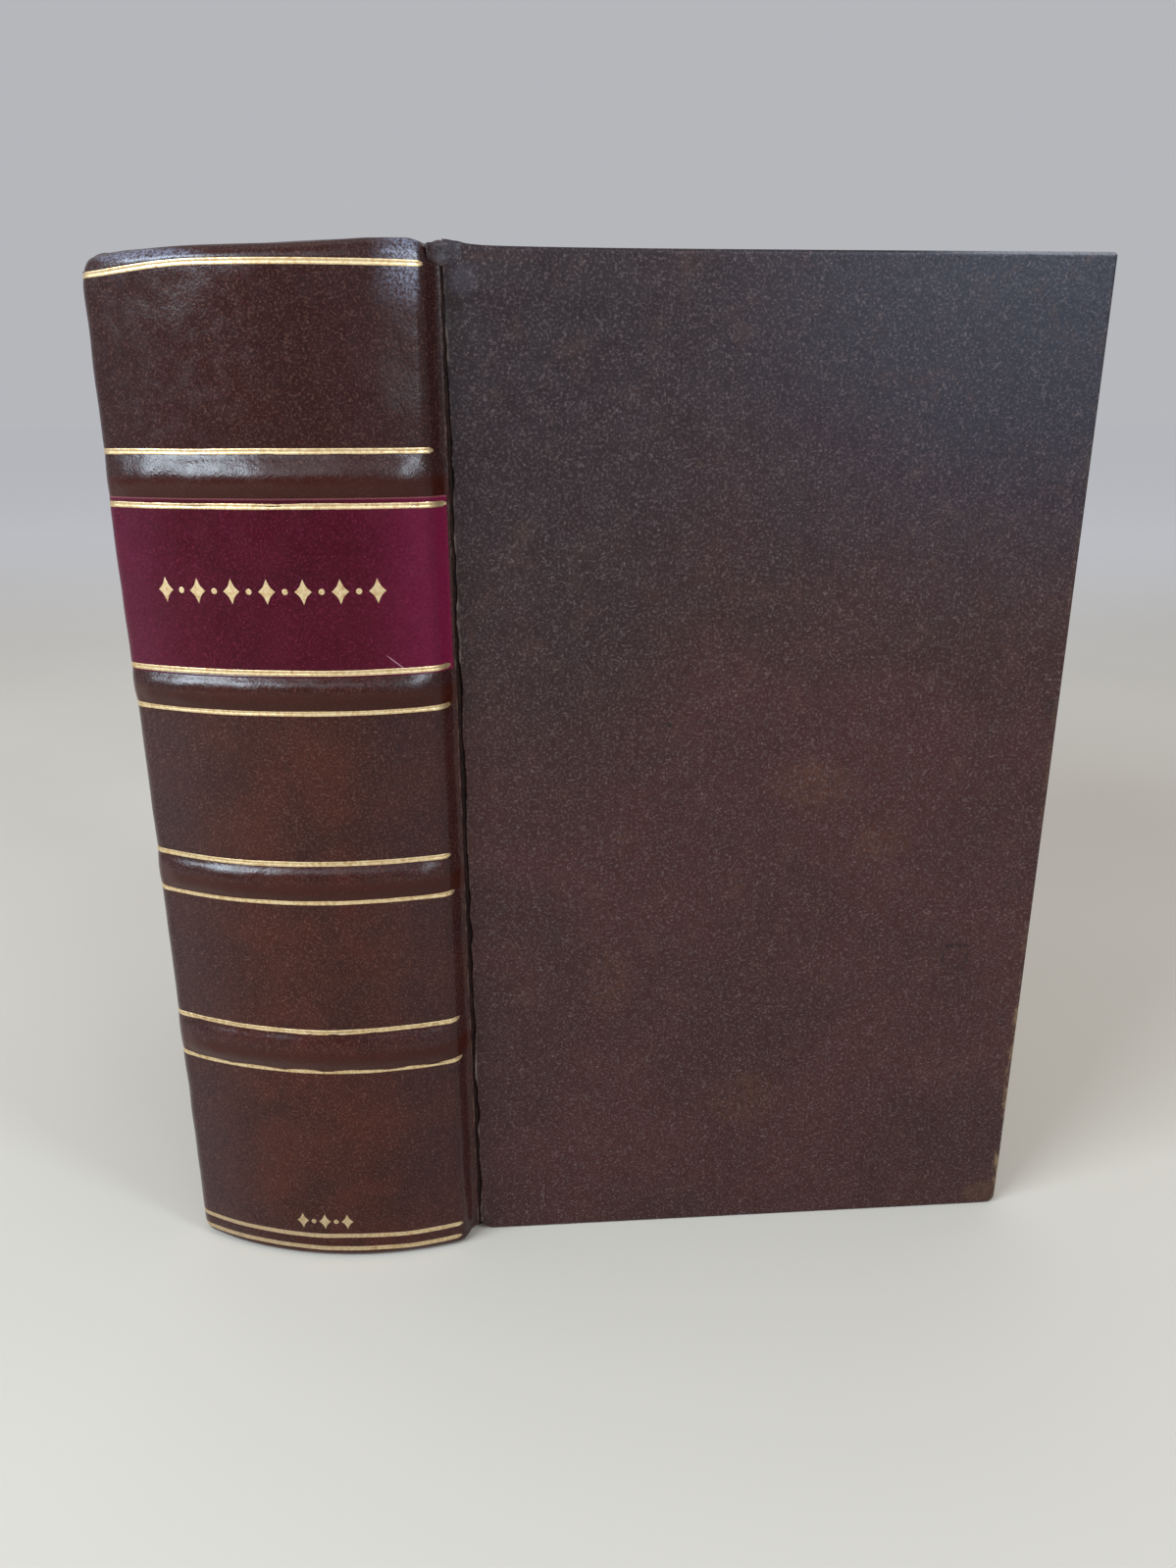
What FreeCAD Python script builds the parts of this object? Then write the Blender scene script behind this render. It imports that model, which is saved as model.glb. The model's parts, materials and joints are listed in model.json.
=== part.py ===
import FreeCAD, Part
import math
import os

from FreeCAD import Vector

# An antique book in full calf, standing on its tail edges with the front cover open.
# +Z is up, +X runs from the back cover to the front cover, +Y from the spine to the fore-edge.
# The origin is on the standing face, in the middle of the spine's tail cap. Sizes are in mm.

# Text block
text_thickness = 59.2
fore_edge_hollow = 6.5
shoulder_taper = 0.9
flyleaf_thickness = 0.4

# Covers
book_height = 216.0
cover_length = 127.5
cover_open_angle = 81.8
board_thickness = 2.7
board_leather = 0.8
turn_in_thickness = 0.5
turn_in_width = 12.0
edge_radius = 0.7
sharp_corner = 1.3
worn_corner = 3.2
square = 3.5

# Spine
spine_round = 9.65
shoulder_radius = 4.0
spine_leather_thickness = 1.0
lining_thickness = 0.8
cap_depth = 3.4
cap_thickness = 1.4
cap_radius = 2.2
joint_step = 2.0
joint_setback = 2.25
wing_tip = 0.5

# Raised bands, from the head down: height of the middle, and the distance between its two rules
bands = ((175.75, 9.8), (135.2, 8.1), (94.8, 8.6), (55.0, 10.0))
band_height = 1.3
band_side_share = 0.25
rule_to_band = 0.9

# Gilt rules, label and ornaments
rule_width = 1.1
gilt_thickness = 0.2
head_rule_drop = 3.4
tail_rule_heights = (6.2, 2.8)
label_thickness = 0.3
label_lozenges = 7
label_lozenge = (3.4, 5.0)
label_pitch = 7.0
tail_lozenges = 3
tail_lozenge = (2.8, 4.2)
tail_pitch = 5.2
tail_ornament_height = 10.2
dot_radius = 0.6

# Headbands
headband_depth = 2.8
headband_side_gap = 3.0

# Clearance between a cover and what it moves against, and construction allowances
clearance = 0.3
overcut = 5.0
band_steps = 8
cap_steps = 5

# Sizes that follow from those above
cover_thickness = board_leather + board_thickness + turn_in_thickness
text_half = text_thickness / 2
joint_x = text_half + flyleaf_thickness + clearance + cover_thickness
joint_y = joint_setback
spine_half = joint_x - joint_step
spine_end_y = joint_y - clearance
wing_radius = joint_step - clearance
wing_start_y = spine_end_y - wing_tip - wing_radius
text_back = -(spine_leather_thickness + lining_thickness)
text_bottom = square
text_top = book_height - square
text_fore_y = joint_y + cover_length - square
joint_point = Vector(joint_x, joint_y, 0)
origin_shift = Vector(0, spine_round - (cap_radius + cap_depth) / 2, 0)


def arc(start, middle, end):
    return Part.Arc(start, middle, end).toShape()


def line(start, end):
    return Part.makeLine(start, end)


def prism(wire, bottom, top):
    """The closed wire's face, which is drawn at height 0, raised between two heights."""
    face = Part.Face(wire)
    face.translate(Vector(0, 0, bottom))
    return face.extrude(Vector(0, 0, top - bottom))


def block(x_low, x_high, y_low, y_high, z_low, z_high):
    size = (x_high - x_low, y_high - y_low, z_high - z_low)
    return Part.makeBox(*size, Vector(x_low, y_low, z_low))


def crown_radius(half, bulge, corner):
    """Radius of the crown arc that meets shoulder arcs of radius corner smoothly."""
    return (half ** 2 + bulge ** 2 - 2 * half * corner) / (2 * (bulge - corner))


def back_arcs(offset, z, relief):
    """The rounded back in plan: left shoulder, crown, right shoulder.

    The whole back is moved outwards by offset.
    The crown rises further by relief, and the sides by a share of it."""
    half = spine_half + offset + relief * band_side_share
    bulge = spine_round + offset + relief
    corner = shoulder_radius + offset
    radius = crown_radius(half, bulge, corner)
    crown = Vector(0, radius - bulge, z)
    side = Vector(half - corner, 0, z)
    lean = math.atan2(side.x, crown.y)
    top = Vector(0, -bulge, z)
    meet = crown + Vector(radius * math.sin(lean), -radius * math.cos(lean), 0)
    half_turn = (math.pi / 2 + lean) / 2
    bend = side + Vector(corner * math.sin(half_turn), -corner * math.cos(half_turn), 0)
    end = side + Vector(corner, 0, 0)
    left = [Vector(-p.x, p.y, p.z) for p in (end, bend, meet)]
    return [arc(*left), arc(left[2], top, meet), arc(meet, bend, end)]


def spine_outline(offset, z=0.0, relief=0.0):
    """The back's arcs closed by straight sides and a line in front of the boards."""
    half = spine_half + offset + relief * band_side_share
    corners = [Vector(half, 0, z), Vector(half, spine_end_y, z)]
    corners += [Vector(-half, spine_end_y, z), Vector(-half, 0, z)]
    sides = [line(a, b) for a, b in zip(corners, corners[1:])]
    return Part.Wire(back_arcs(offset, z, relief) + sides)


def spine_prism(offset, bottom, top):
    return prism(spine_outline(offset), bottom, top)


def spine_skin(inner, outer, bottom, top):
    """A layer that follows the spine, as far as the hollows beside the joints."""
    layer = spine_prism(outer, bottom, top)
    layer = layer.cut(spine_prism(inner, bottom - overcut, top + overcut))
    reach = spine_half + outer + overcut
    front = block(-reach, reach, -spine_round - overcut, wing_start_y, bottom, top)
    return layer.common(front)


def spine_loft(stations):
    """A solid through the spine's outline at each (height, offset, relief)."""
    wires = [spine_outline(offset, height, relief) for height, offset, relief in stations]
    return Part.makeLoft(wires, True, True)


def text_block():
    half = spine_half + text_back
    taper_y = spine_end_y - shoulder_taper
    side = [Vector(half, 0, 0), Vector(half, taper_y, 0), Vector(text_half, spine_end_y, 0)]
    side += [Vector(text_half, text_fore_y, 0)]
    other = [Vector(-p.x, p.y, 0) for p in side]
    right = [line(a, b) for a, b in zip(side, side[1:])]
    left = [line(b, a) for a, b in zip(other, other[1:])]
    hollow = arc(side[-1], Vector(0, text_fore_y - fore_edge_hollow, 0), other[-1])
    wire = Part.Wire(back_arcs(text_back, 0, 0) + right + [hollow] + left[::-1])
    return prism(wire, text_bottom, text_top)


def flyleaf(sign):
    """The free endpaper on one side of the text block."""
    near = sign * text_half
    far = sign * (text_half + flyleaf_thickness)
    return block(min(near, far), max(near, far), joint_y, text_fore_y, text_bottom, text_top)


def spine_lining():
    layer = spine_prism(-spine_leather_thickness, text_bottom, text_top)
    return layer.cut(spine_prism(text_back, text_bottom - overcut, text_top + overcut))


def band_feet(band):
    """Heights at which a raised band leaves the flat of the spine, lower then upper."""
    centre, width = band
    half = width / 2 - rule_to_band
    return centre - half, centre + half


def band_arch(band, offset):
    """The back raised over one band in an arch, from one foot of the band to the other."""
    low, high = band_feet(band)
    half = (high - low) / 2
    radius = (half ** 2 + band_height ** 2) / (2 * band_height)
    rise = [half * (2 * i / band_steps - 1) for i in range(band_steps + 1)]
    heights = [math.sqrt(radius ** 2 - run ** 2) - radius + band_height for run in rise]
    sink = spine_leather_thickness / 4
    stations = [(low + half + run, offset - sink, height + sink) for run, height in zip(rise, heights)]
    return spine_loft(stations)


def raised_band(band):
    """The strip under the leather that makes one raised band, pared off before the shoulders."""
    low, high = band_feet(band)
    under = spine_prism(-spine_leather_thickness, low - overcut, high + overcut)
    reach = spine_half - shoulder_radius
    crown = block(-reach, reach, -spine_round - overcut, 0, low, high)
    return band_arch(band, -spine_leather_thickness).cut(under).common(crown)


def spine_envelope():
    """The outside of the spine leather without bands, with rounded head and tail caps."""
    turns = [math.pi / 2 * i / cap_steps for i in range(cap_steps + 1)]
    curve = [(cap_radius * (1 - math.cos(t)), cap_radius * (math.sin(t) - 1)) for t in turns]
    stations = [(run, offset, 0) for run, offset in curve]
    stations += [(book_height - run, offset, 0) for run, offset in curve[::-1]]
    return spine_loft(stations)


def cap_mouth(bottom, top):
    """The opening behind a cap, which leaves the cap's lip over the headband."""
    radius = crown_radius(spine_half, spine_round, shoulder_radius)
    disc = Part.makeCylinder(radius - cap_depth, top - bottom, Vector(0, radius - spine_round, bottom))
    inner = spine_half - spine_leather_thickness
    room = block(-inner, inner, -spine_round, spine_end_y + overcut, bottom, top)
    return disc.common(room)


def joint_wing(sign):
    """The leather that curls from the spine's side out to one joint."""
    inner = spine_half - spine_leather_thickness
    tip = joint_x - clearance
    start = Vector(spine_half, wing_start_y, 0)
    end = Vector(tip, spine_end_y - wing_tip, 0)
    slant = wing_radius * math.sqrt(0.5)
    middle = Vector(tip - slant, wing_start_y + slant, 0)
    rim = [end, Vector(tip, spine_end_y, 0), Vector(inner, spine_end_y, 0), Vector(inner, wing_start_y, 0)]
    edges = [arc(start, middle, end)] + [line(a, b) for a, b in zip(rim, rim[1:])]
    edges.append(line(rim[-1], start))
    wing = prism(Part.Wire(edges), cap_radius, book_height - cap_radius)
    return wing if sign > 0 else wing.mirror(Vector(), Vector(1, 0, 0))


def spine_leather():
    outside = spine_envelope().fuse([band_arch(band, 0) for band in bands])
    outside = outside.fuse([joint_wing(1), joint_wing(-1)])
    inside = [spine_prism(-spine_leather_thickness, text_bottom, text_top)]
    inside.append(spine_prism(text_back, cap_thickness, book_height - cap_thickness))
    inside.append(cap_mouth(-overcut, book_height + overcut))
    inside += [raised_band(band) for band in bands]
    return outside.cut(inside).removeSplitter()


def headband(bottom):
    """The worked band at one end of the text block's back."""
    crown = crown_radius(spine_half, spine_round, shoulder_radius)
    outer = crown + text_back
    height = square - cap_thickness
    ring = Part.makeCylinder(outer, height, Vector(0, crown - spine_round, bottom))
    core = Part.makeCylinder(outer - headband_depth, height, Vector(0, crown - spine_round, bottom))
    reach = spine_half - shoulder_radius - headband_side_gap
    room = block(-reach, reach, -spine_round, spine_end_y, bottom, bottom + height)
    return ring.cut(core).common(room)


def title_label():
    return spine_skin(0, label_thickness, band_feet(bands[1])[1], band_feet(bands[0])[0])


def rule_heights():
    """The middle height of each gilt rule and what it lies on, from the head down."""
    heights = [(book_height - head_rule_drop, 0)]
    for index, (centre, width) in enumerate(bands):
        upper = label_thickness if index == 1 else 0
        lower = label_thickness if index == 0 else 0
        heights += [(centre + width / 2, upper), (centre - width / 2, lower)]
    return heights + [(height, 0) for height in tail_rule_heights]


def gilt_rule(height, surface):
    half = rule_width / 2
    return spine_skin(surface, surface + gilt_thickness, height - half, height + half)


def lozenge(centre_x, centre_z, size):
    width, height = size
    points = [Vector(width / 2, 0, 0), Vector(0, 0, height / 2)]
    points += [Vector(-width / 2, 0, 0), Vector(0, 0, -height / 2)]
    points = [p + Vector(centre_x, -spine_round - overcut, centre_z) for p in points]
    return Part.Face(Part.makePolygon(points + points[:1])).extrude(Vector(0, spine_round + overcut, 0))


def dot(centre_x, centre_z):
    start = Vector(centre_x, -spine_round - overcut, centre_z)
    return Part.makeCylinder(dot_radius, spine_round + overcut, start, Vector(0, 1, 0))


def ornament(count, size, pitch, height, surface):
    """A row of gilt lozenges with a dot between each two."""
    first = -pitch * (count - 1) / 2
    tools = [lozenge(first + pitch * i, height, size) for i in range(count)]
    tools += [dot(first + pitch * (i + 0.5), height) for i in range(count - 1)]
    leaf = spine_skin(surface, surface + gilt_thickness, height - size[1], height + size[1])
    return Part.makeCompound([leaf.common(tool).Solids[0] for tool in tools])


def label_ornament():
    middle = (band_feet(bands[1])[1] + band_feet(bands[0])[0]) / 2
    return ornament(label_lozenges, label_lozenge, label_pitch, middle, label_thickness)


def tail_ornament():
    return ornament(tail_lozenges, tail_lozenge, tail_pitch, tail_ornament_height, 0)


def rounded_panel(x_low, x_high, trim, corners):
    """A board-shaped panel trimmed at head, tail and fore-edge, with its two free corners rounded."""
    far = joint_y + cover_length - trim
    panel = block(x_low, x_high, joint_y, far, trim, book_height - trim)
    for height, radius in zip((book_height - trim, trim), corners):
        edge = [e for e in panel.Edges if is_corner(e, far, height)]
        panel = panel.makeFillet(radius - trim, edge)
    return panel


def is_corner(edge, y, z):
    return all(abs(v.Y - y) < 1e-6 and abs(v.Z - z) < 1e-6 for v in edge.Vertexes)


def cover_board(corners):
    outer = joint_x - board_leather
    return rounded_panel(outer - board_thickness, outer, board_leather, corners)


def cover_pastedown():
    inner = joint_x - cover_thickness
    far = joint_y + cover_length - turn_in_width
    return block(inner, inner + turn_in_thickness, joint_y, far, turn_in_width, book_height - turn_in_width)


def cover_leather(corners):
    """The leather over a board: its outer face, three edges and the turn-ins."""
    panel = rounded_panel(joint_x - cover_thickness, joint_x, 0, corners)
    outer = [e for e in panel.Edges if is_rim(e, joint_x)]
    panel = panel.makeFillet(edge_radius, outer)
    return panel.cut([cover_board(corners), cover_pastedown()])


def is_rim(edge, x):
    """Whether an edge of a panel lies in its outer face, away from the joint."""
    in_face = all(abs(v.X - x) < 1e-6 for v in edge.Vertexes)
    at_joint = all(abs(v.Y - joint_y) < 1e-6 for v in edge.Vertexes)
    return in_face and not at_joint


def cover(corners):
    """One closed cover, on the side of +X."""
    pieces = {"board": cover_board(corners), "leather": cover_leather(corners)}
    pieces["pastedown"] = cover_pastedown()
    return pieces


def front_cover():
    """The front cover, swung open about its joint."""
    pieces = cover((sharp_corner, worn_corner))
    for piece in pieces.values():
        piece.rotate(joint_point, Vector(0, 0, 1), -cover_open_angle)
    return {"front_cover_" + name: piece for name, piece in pieces.items()}


def back_cover():
    """The back cover, closed against the text block."""
    pieces = cover((sharp_corner, sharp_corner))
    mirrored = {name: piece.mirror(Vector(), Vector(1, 0, 0)) for name, piece in pieces.items()}
    return {"back_cover_" + name: piece for name, piece in mirrored.items()}


def nodes():
    """Every piece of the book by name."""
    made = {"text_block": text_block(), "front_flyleaf": flyleaf(1), "back_flyleaf": flyleaf(-1)}
    made["spine_lining"] = spine_lining()
    made["spine_leather"] = spine_leather()
    made["head_headband"] = headband(text_top)
    made["tail_headband"] = headband(cap_thickness)
    made["title_label"] = title_label()
    for number, band in enumerate(bands, 1):
        made[f"raised_band_{number}"] = raised_band(band)
    for number, (height, surface) in enumerate(rule_heights(), 1):
        made[f"gilt_rule_{number:02d}"] = gilt_rule(height, surface)
    made["label_ornament"] = label_ornament()
    made["tail_ornament"] = tail_ornament()
    made.update(front_cover())
    made.update(back_cover())
    return made


def main():
    os.makedirs("parts", exist_ok=True)
    for name, shape in nodes().items():
        shape.translate(origin_shift)
        shape.exportStep(f"parts/{name}.step")
        print(f"{name:22s} solids {len(shape.Solids)} valid {shape.isValid()} volume {shape.Volume:10.1f}")


main()
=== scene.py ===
import json
import math

import bmesh
import bpy
import numpy as np
from mathutils import Matrix, Vector


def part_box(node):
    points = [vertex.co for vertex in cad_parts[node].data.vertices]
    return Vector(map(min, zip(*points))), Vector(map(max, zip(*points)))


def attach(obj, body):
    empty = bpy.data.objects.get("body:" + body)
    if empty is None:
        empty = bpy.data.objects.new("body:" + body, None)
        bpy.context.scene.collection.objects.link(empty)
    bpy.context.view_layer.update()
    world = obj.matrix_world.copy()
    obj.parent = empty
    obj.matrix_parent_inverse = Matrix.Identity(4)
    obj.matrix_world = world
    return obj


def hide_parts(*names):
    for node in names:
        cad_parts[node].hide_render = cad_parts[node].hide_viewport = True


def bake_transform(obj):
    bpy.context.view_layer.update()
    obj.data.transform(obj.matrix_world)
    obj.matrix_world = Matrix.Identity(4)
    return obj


# An antique book in full calf, standing with its front cover open. Metres, in the part's own frame.

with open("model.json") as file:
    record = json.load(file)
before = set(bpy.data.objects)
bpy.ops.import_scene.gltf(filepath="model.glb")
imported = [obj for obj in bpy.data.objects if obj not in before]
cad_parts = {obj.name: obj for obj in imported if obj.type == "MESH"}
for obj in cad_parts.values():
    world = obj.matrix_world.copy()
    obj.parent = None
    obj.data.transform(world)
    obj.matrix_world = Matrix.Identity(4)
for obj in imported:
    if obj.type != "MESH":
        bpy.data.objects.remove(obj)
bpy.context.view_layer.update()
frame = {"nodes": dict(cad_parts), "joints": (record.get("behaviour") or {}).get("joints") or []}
MM = 0.001

# Sizes read from the frame
front_joint = next(joint for joint in frame["joints"] if joint["name"] == "front_cover_joint")
hinge = Vector(front_joint["pos_m"])
open_angle = math.radians(front_joint["range_deg"][1])
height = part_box("back_cover_leather")[1].z
cover_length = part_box("back_cover_leather")[1].y - hinge.y
cover_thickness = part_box("back_cover_leather")[1].x + hinge.x
board_low, board_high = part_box("back_cover_board")
board_leather = board_low.x + hinge.x
turn_in = cover_thickness - board_leather - (board_high.x - board_low.x)
text_low, text_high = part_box("text_block")
text_half = -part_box("back_flyleaf")[1].x
label_low, label_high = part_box("title_label")


def heights_of(node):
    """The middle height of a node's box, and half of what it measures upwards."""
    low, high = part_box(node)
    return (low.z + high.z) / 2, (high.z - low.z) / 2


bands = [heights_of(f"raised_band_{number}") for number in range(1, 5)]
rules = [heights_of(f"gilt_rule_{number:02d}") for number in range(1, 12)]

# Sizes that the model is built from
leather = 1.0 * MM
lining = 0.8 * MM
text_depth = leather + lining
shoulder_radius = 4.0 * MM
shoulder_turn = 62.0
joint_setback = 2.25 * MM
joint_gap = 0.3 * MM
closed_joint_share = 0.35
joint_tail_corner = 3.4 * MM
band_height = 1.3 * MM
cap_radius = 2.2 * MM
cap_stretch = 1.45
cap_depth = 3.4 * MM
cap_thickness = 1.4 * MM
turn_in_width = 12.0 * MM
edge_radius = 0.7 * MM
sharp_corner = 0.9 * MM
worn_corner = 2.4 * MM
fore_edge_hollow = 6.5 * MM
headband_depth = 2.8 * MM
label_end = 33.5 * MM
label_lift = 0.2 * MM
merge_distance = 1e-6

# The head cap's edge across the spine: x, and how far it lies above or below a level edge, in mm
cap_tilt = ((-33, -0.7), (-27, -0.8), (-18, -0.9), (-3, -0.5), (6, -0.1), (22, 0.8), (31, 0.95),
            (32.4, 0.75), (34, 1.0))

# Where each gilt rule ends on the right, as x in mm, from the head down
rule_ends = (31.6, 32.0, 33.4, 33.0, 32.8, 31.8, 32.2, 32.2, 32.3, 31.2, 30.8)

# The spine's arcs in plan
chord_y = hinge.y - joint_setback
spine_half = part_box("spine_lining")[1].x + leather
spine_bulge = chord_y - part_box("spine_lining")[0].y + leather
crown_radius = spine_half ** 2 + spine_bulge ** 2 - 2 * spine_half * shoulder_radius
crown_radius /= 2 * (spine_bulge - shoulder_radius)
wing_tip_x = hinge.x - joint_gap
wing_end_y = hinge.y - joint_gap

SEED = 11


# Meshes

def make_piece(name, verts, faces, material, body, slot, smooth=True):
    """A mesh object that rides on a body of the frame, or on none yet."""
    mesh = bpy.data.meshes.new(name)
    mesh.from_pydata([tuple(v) for v in verts], [], [tuple(f) for f in faces])
    mesh.validate()
    mesh.update()
    piece = bpy.data.objects.new(name, mesh)
    bpy.context.scene.collection.objects.link(piece)
    mesh.polygons.foreach_set("use_smooth", [smooth] * len(mesh.polygons))
    mesh.materials.append(material)
    if body:
        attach(piece, body)
    return piece


def face_outwards(piece, merge=0.0):
    """Points every face of a mesh outwards, once points nearer than merge are made one."""
    shell = bmesh.new()
    shell.from_mesh(piece.data)
    if merge:
        bmesh.ops.remove_doubles(shell, verts=shell.verts, dist=merge)
        bmesh.ops.dissolve_degenerate(shell, edges=shell.edges, dist=merge)
    bmesh.ops.recalc_face_normals(shell, faces=shell.faces)
    shell.to_mesh(piece.data)
    shell.free()


def thicken(piece, thickness, offset):
    """Gives a surface a thickness, on the side of its normals for offset 1 and behind them for -1."""
    solidify = piece.modifiers.new("thickness", "SOLIDIFY")
    solidify.thickness = thickness
    solidify.offset = offset
    graph = bpy.context.evaluated_depsgraph_get()
    made = piece.evaluated_get(graph)
    mesh = bpy.data.meshes.new_from_object(made, preserve_all_data_layers=True, depsgraph=graph)
    piece.modifiers.clear()
    piece.data = mesh


def sharpen(piece, angle):
    """Smooth shading that keeps edges sharper than angle."""
    piece.data.set_sharp_from_angle(angle=math.radians(angle))


def grid_faces(rows, columns, start=0, wrap_rows=False, wrap_columns=False):
    """Quads of a grid of points stored row by row, which may close on itself."""
    faces = []
    for row in range(rows if wrap_rows else rows - 1):
        below = start + row * columns
        above = start + (row + 1) % rows * columns
        for column in range(columns if wrap_columns else columns - 1):
            after = (column + 1) % columns
            faces.append((below + column, below + after, above + after, above + column))
    return faces


def rim_faces(rows, columns):
    """The faces that join the rims of two equal grids stored one after the other."""
    count = rows * columns
    rim = [c for c in range(columns)] + [r * columns + columns - 1 for r in range(1, rows)]
    rim += [(rows - 1) * columns + c for c in range(columns - 2, -1, -1)]
    rim += [r * columns for r in range(rows - 2, 0, -1)]
    return [(p, q, q + count, p + count) for p, q in zip(rim, rim[1:] + rim[:1])]


def closed_sheet(name, top, bottom, material, body, slot, angle):
    """A closed thin piece between two equal grids of points, rounded over edges less sharp than angle."""
    rows, columns = top.shape[:2]
    faces = grid_faces(rows, columns)
    faces += [face[::-1] for face in grid_faces(rows, columns, rows * columns)]
    faces += rim_faces(rows, columns)
    verts = np.concatenate([top.reshape(-1, 3), bottom.reshape(-1, 3)])
    piece = make_piece(name, verts, faces, material, body, slot)
    face_outwards(piece)
    sharpen(piece, angle)
    return piece


def waves(seed, count, shortest, longest):
    """Random gentle waves over a surface, as a function of two lengths."""
    rng = np.random.default_rng(seed)
    sizes = np.exp(rng.uniform(np.log(shortest), np.log(longest), count))
    turns = rng.uniform(0, 2 * math.pi, count)
    starts = rng.uniform(0, 2 * math.pi, count)
    shares = sizes / sizes.sum()

    def height_at(a, b):
        total = 0.0
        for size, turn, start, share in zip(sizes, turns, starts, shares):
            run = (a * math.cos(turn) + b * math.sin(turn)) * 2 * math.pi / size
            total = total + share * np.sin(run + start)
        return total * math.sqrt(count)
    return height_at


def smooth_step(value, low, high):
    t = np.clip((value - low) / (high - low), 0, 1)
    return t * t * (3 - 2 * t)


# The spine's surface

def arc_points(centre, radius, start, end, count):
    turns = np.radians(np.linspace(start, end, count))
    return np.stack([centre[0] + radius * np.cos(turns), centre[1] + radius * np.sin(turns)], 1)


def lengths_along(points):
    """The length along a line of points, at each of them."""
    return np.concatenate([[0], np.cumsum(np.linalg.norm(np.diff(points, axis=0), axis=1))])


def spine_path():
    """The right half of the spine in plan, outside and inside, from the crown's top to the joint."""
    crown_end = math.degrees(math.atan2(spine_half - shoulder_radius, crown_radius - spine_bulge)) - 90
    crown_centre = (0, chord_y + crown_radius - spine_bulge)
    side_centre = np.array([spine_half - shoulder_radius, chord_y])
    turn = math.radians(shoulder_turn)
    outward = np.array([math.sin(turn), -math.cos(turn)])
    onward = np.array([math.cos(turn), math.sin(turn)])

    def arcs(depth):
        crown = arc_points(crown_centre, crown_radius - depth, -90, crown_end, 46)
        side = arc_points(side_centre, shoulder_radius - depth, crown_end, shoulder_turn - 90, 12)
        return [crown, side[1:]]

    start = side_centre + shoulder_radius * outward
    end = np.array([wing_tip_x, wing_end_y - 0.5 * MM])
    pulls = (start, start + 1.6 * MM * onward, end - np.array([1.3, 0.3]) * MM, end)
    t = np.linspace(0, 1, 15)[1:, None]
    shares = ((1 - t) ** 3, 3 * t * (1 - t) ** 2, 3 * t ** 2 * (1 - t), t ** 3)
    curve = sum(share * pull for share, pull in zip(shares, pulls))
    inner_start = side_centre + (shoulder_radius - leather) * outward
    corner = np.array([spine_half - leather, wing_end_y])
    side = np.linspace(inner_start, corner, 8)[1:]
    front = np.linspace(corner, [wing_tip_x, wing_end_y], 8)[1:]
    return np.concatenate(arcs(0) + [curve]), np.concatenate(arcs(leather) + [side, front])


def closed_side(half):
    """The left half in plan, where the closed cover draws the leather in at the joint."""
    x = half[:, 0]
    beyond = np.maximum(x - spine_half, 0)
    return np.column_stack([-(x - beyond * (1 - closed_joint_share)), half[:, 1]])


half_outer, half_inner = spine_path()
path_outer = np.concatenate([closed_side(half_outer)[:0:-1], half_outer])
path_inner = np.concatenate([closed_side(half_inner)[:0:-1], half_inner])
path_s = lengths_along(path_outer)
path_s -= path_s[-1] / 2
spine_lumps = waves(SEED, 14, 9 * MM, 45 * MM)
band_lumps = waves(SEED + 1, 10, 5 * MM, 20 * MM)


def band_relief(x, z):
    """How far the leather stands out over the raised bands."""
    fade = 0.12 + 0.88 * (1 - smooth_step(np.abs(x), spine_half - 6.5 * MM, spine_half + 0.6 * MM))
    fade = fade * (1 - smooth_step(np.abs(x), spine_half, wing_tip_x))
    total = 0.0
    for number, (middle, half_width) in enumerate(bands):
        half = half_width + 0.35 * MM
        radius = (half ** 2 + band_height ** 2) / (2 * band_height)
        run = np.minimum(np.abs(z - middle), half)
        arch = np.sqrt(radius ** 2 - run ** 2) - radius + band_height
        if number == 0:
            arch = np.where(z > middle, band_height * (1 - (run / half) ** 1.4), arch)
        near = 1 - smooth_step(np.abs(z - middle), half * 0.6, half)
        total = total + arch * fade * (1 + 0.06 * near * band_lumps(x, z))
    return total


def rule_groove(z):
    """How far the gilt rules are pressed into the leather."""
    total = 0.0
    for middle, half in rules:
        total = total + 0.07 * MM * np.exp(-((z - middle) / (half * 1.1)) ** 4)
    return total


def spine_relief(x, z):
    rise = band_relief(x, z) - rule_groove(z)
    calm = 1 - 0.8 * smooth_step(np.abs(x), spine_half - MM, wing_tip_x)
    return rise + 0.10 * MM * spine_lumps(x, z) * calm


def spine_point(s, z, lift=0.0):
    """Points at lengths s round the spine and heights z, lifted off the leather."""
    x, y = (np.interp(s, path_s, line) for line in path_outer.T)
    inner_x, inner_y = (np.interp(s, path_s, line) for line in path_inner.T)
    out = np.stack([x - inner_x, y - inner_y], -1)
    out /= np.linalg.norm(out, axis=-1, keepdims=True)
    rise = spine_relief(x, z) + lift
    moved_x = x + out[..., 0] * rise + cap_pull(x, z)
    return np.stack([moved_x, y + out[..., 1] * rise, z + cap_shift(x, z)], -1)


def cap_shift(x, z):
    """How the caps' edges leave the level, and how the rule below the head cap drops on the left."""
    places, shifts = np.array(cap_tilt).T * MM
    at_head = np.interp(x, places, shifts) * smooth_step(z, height - 2.6 * MM, height - 0.6 * MM)
    on_wing = smooth_step(np.abs(x), spine_half - 0.6 * MM, wing_tip_x)
    at_tail = 1.9 * MM * on_wing * np.clip(1 - z / (7 * MM), 0, 1)
    near_rule = smooth_step(z, height - 14 * MM, height - 4.6 * MM)
    near_rule = near_rule * (1 - smooth_step(z, height - 2.8 * MM, height - MM))
    return at_head + at_tail - 1.15 * MM * smooth_step(-x, 8 * MM, 32 * MM) * near_rule


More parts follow.
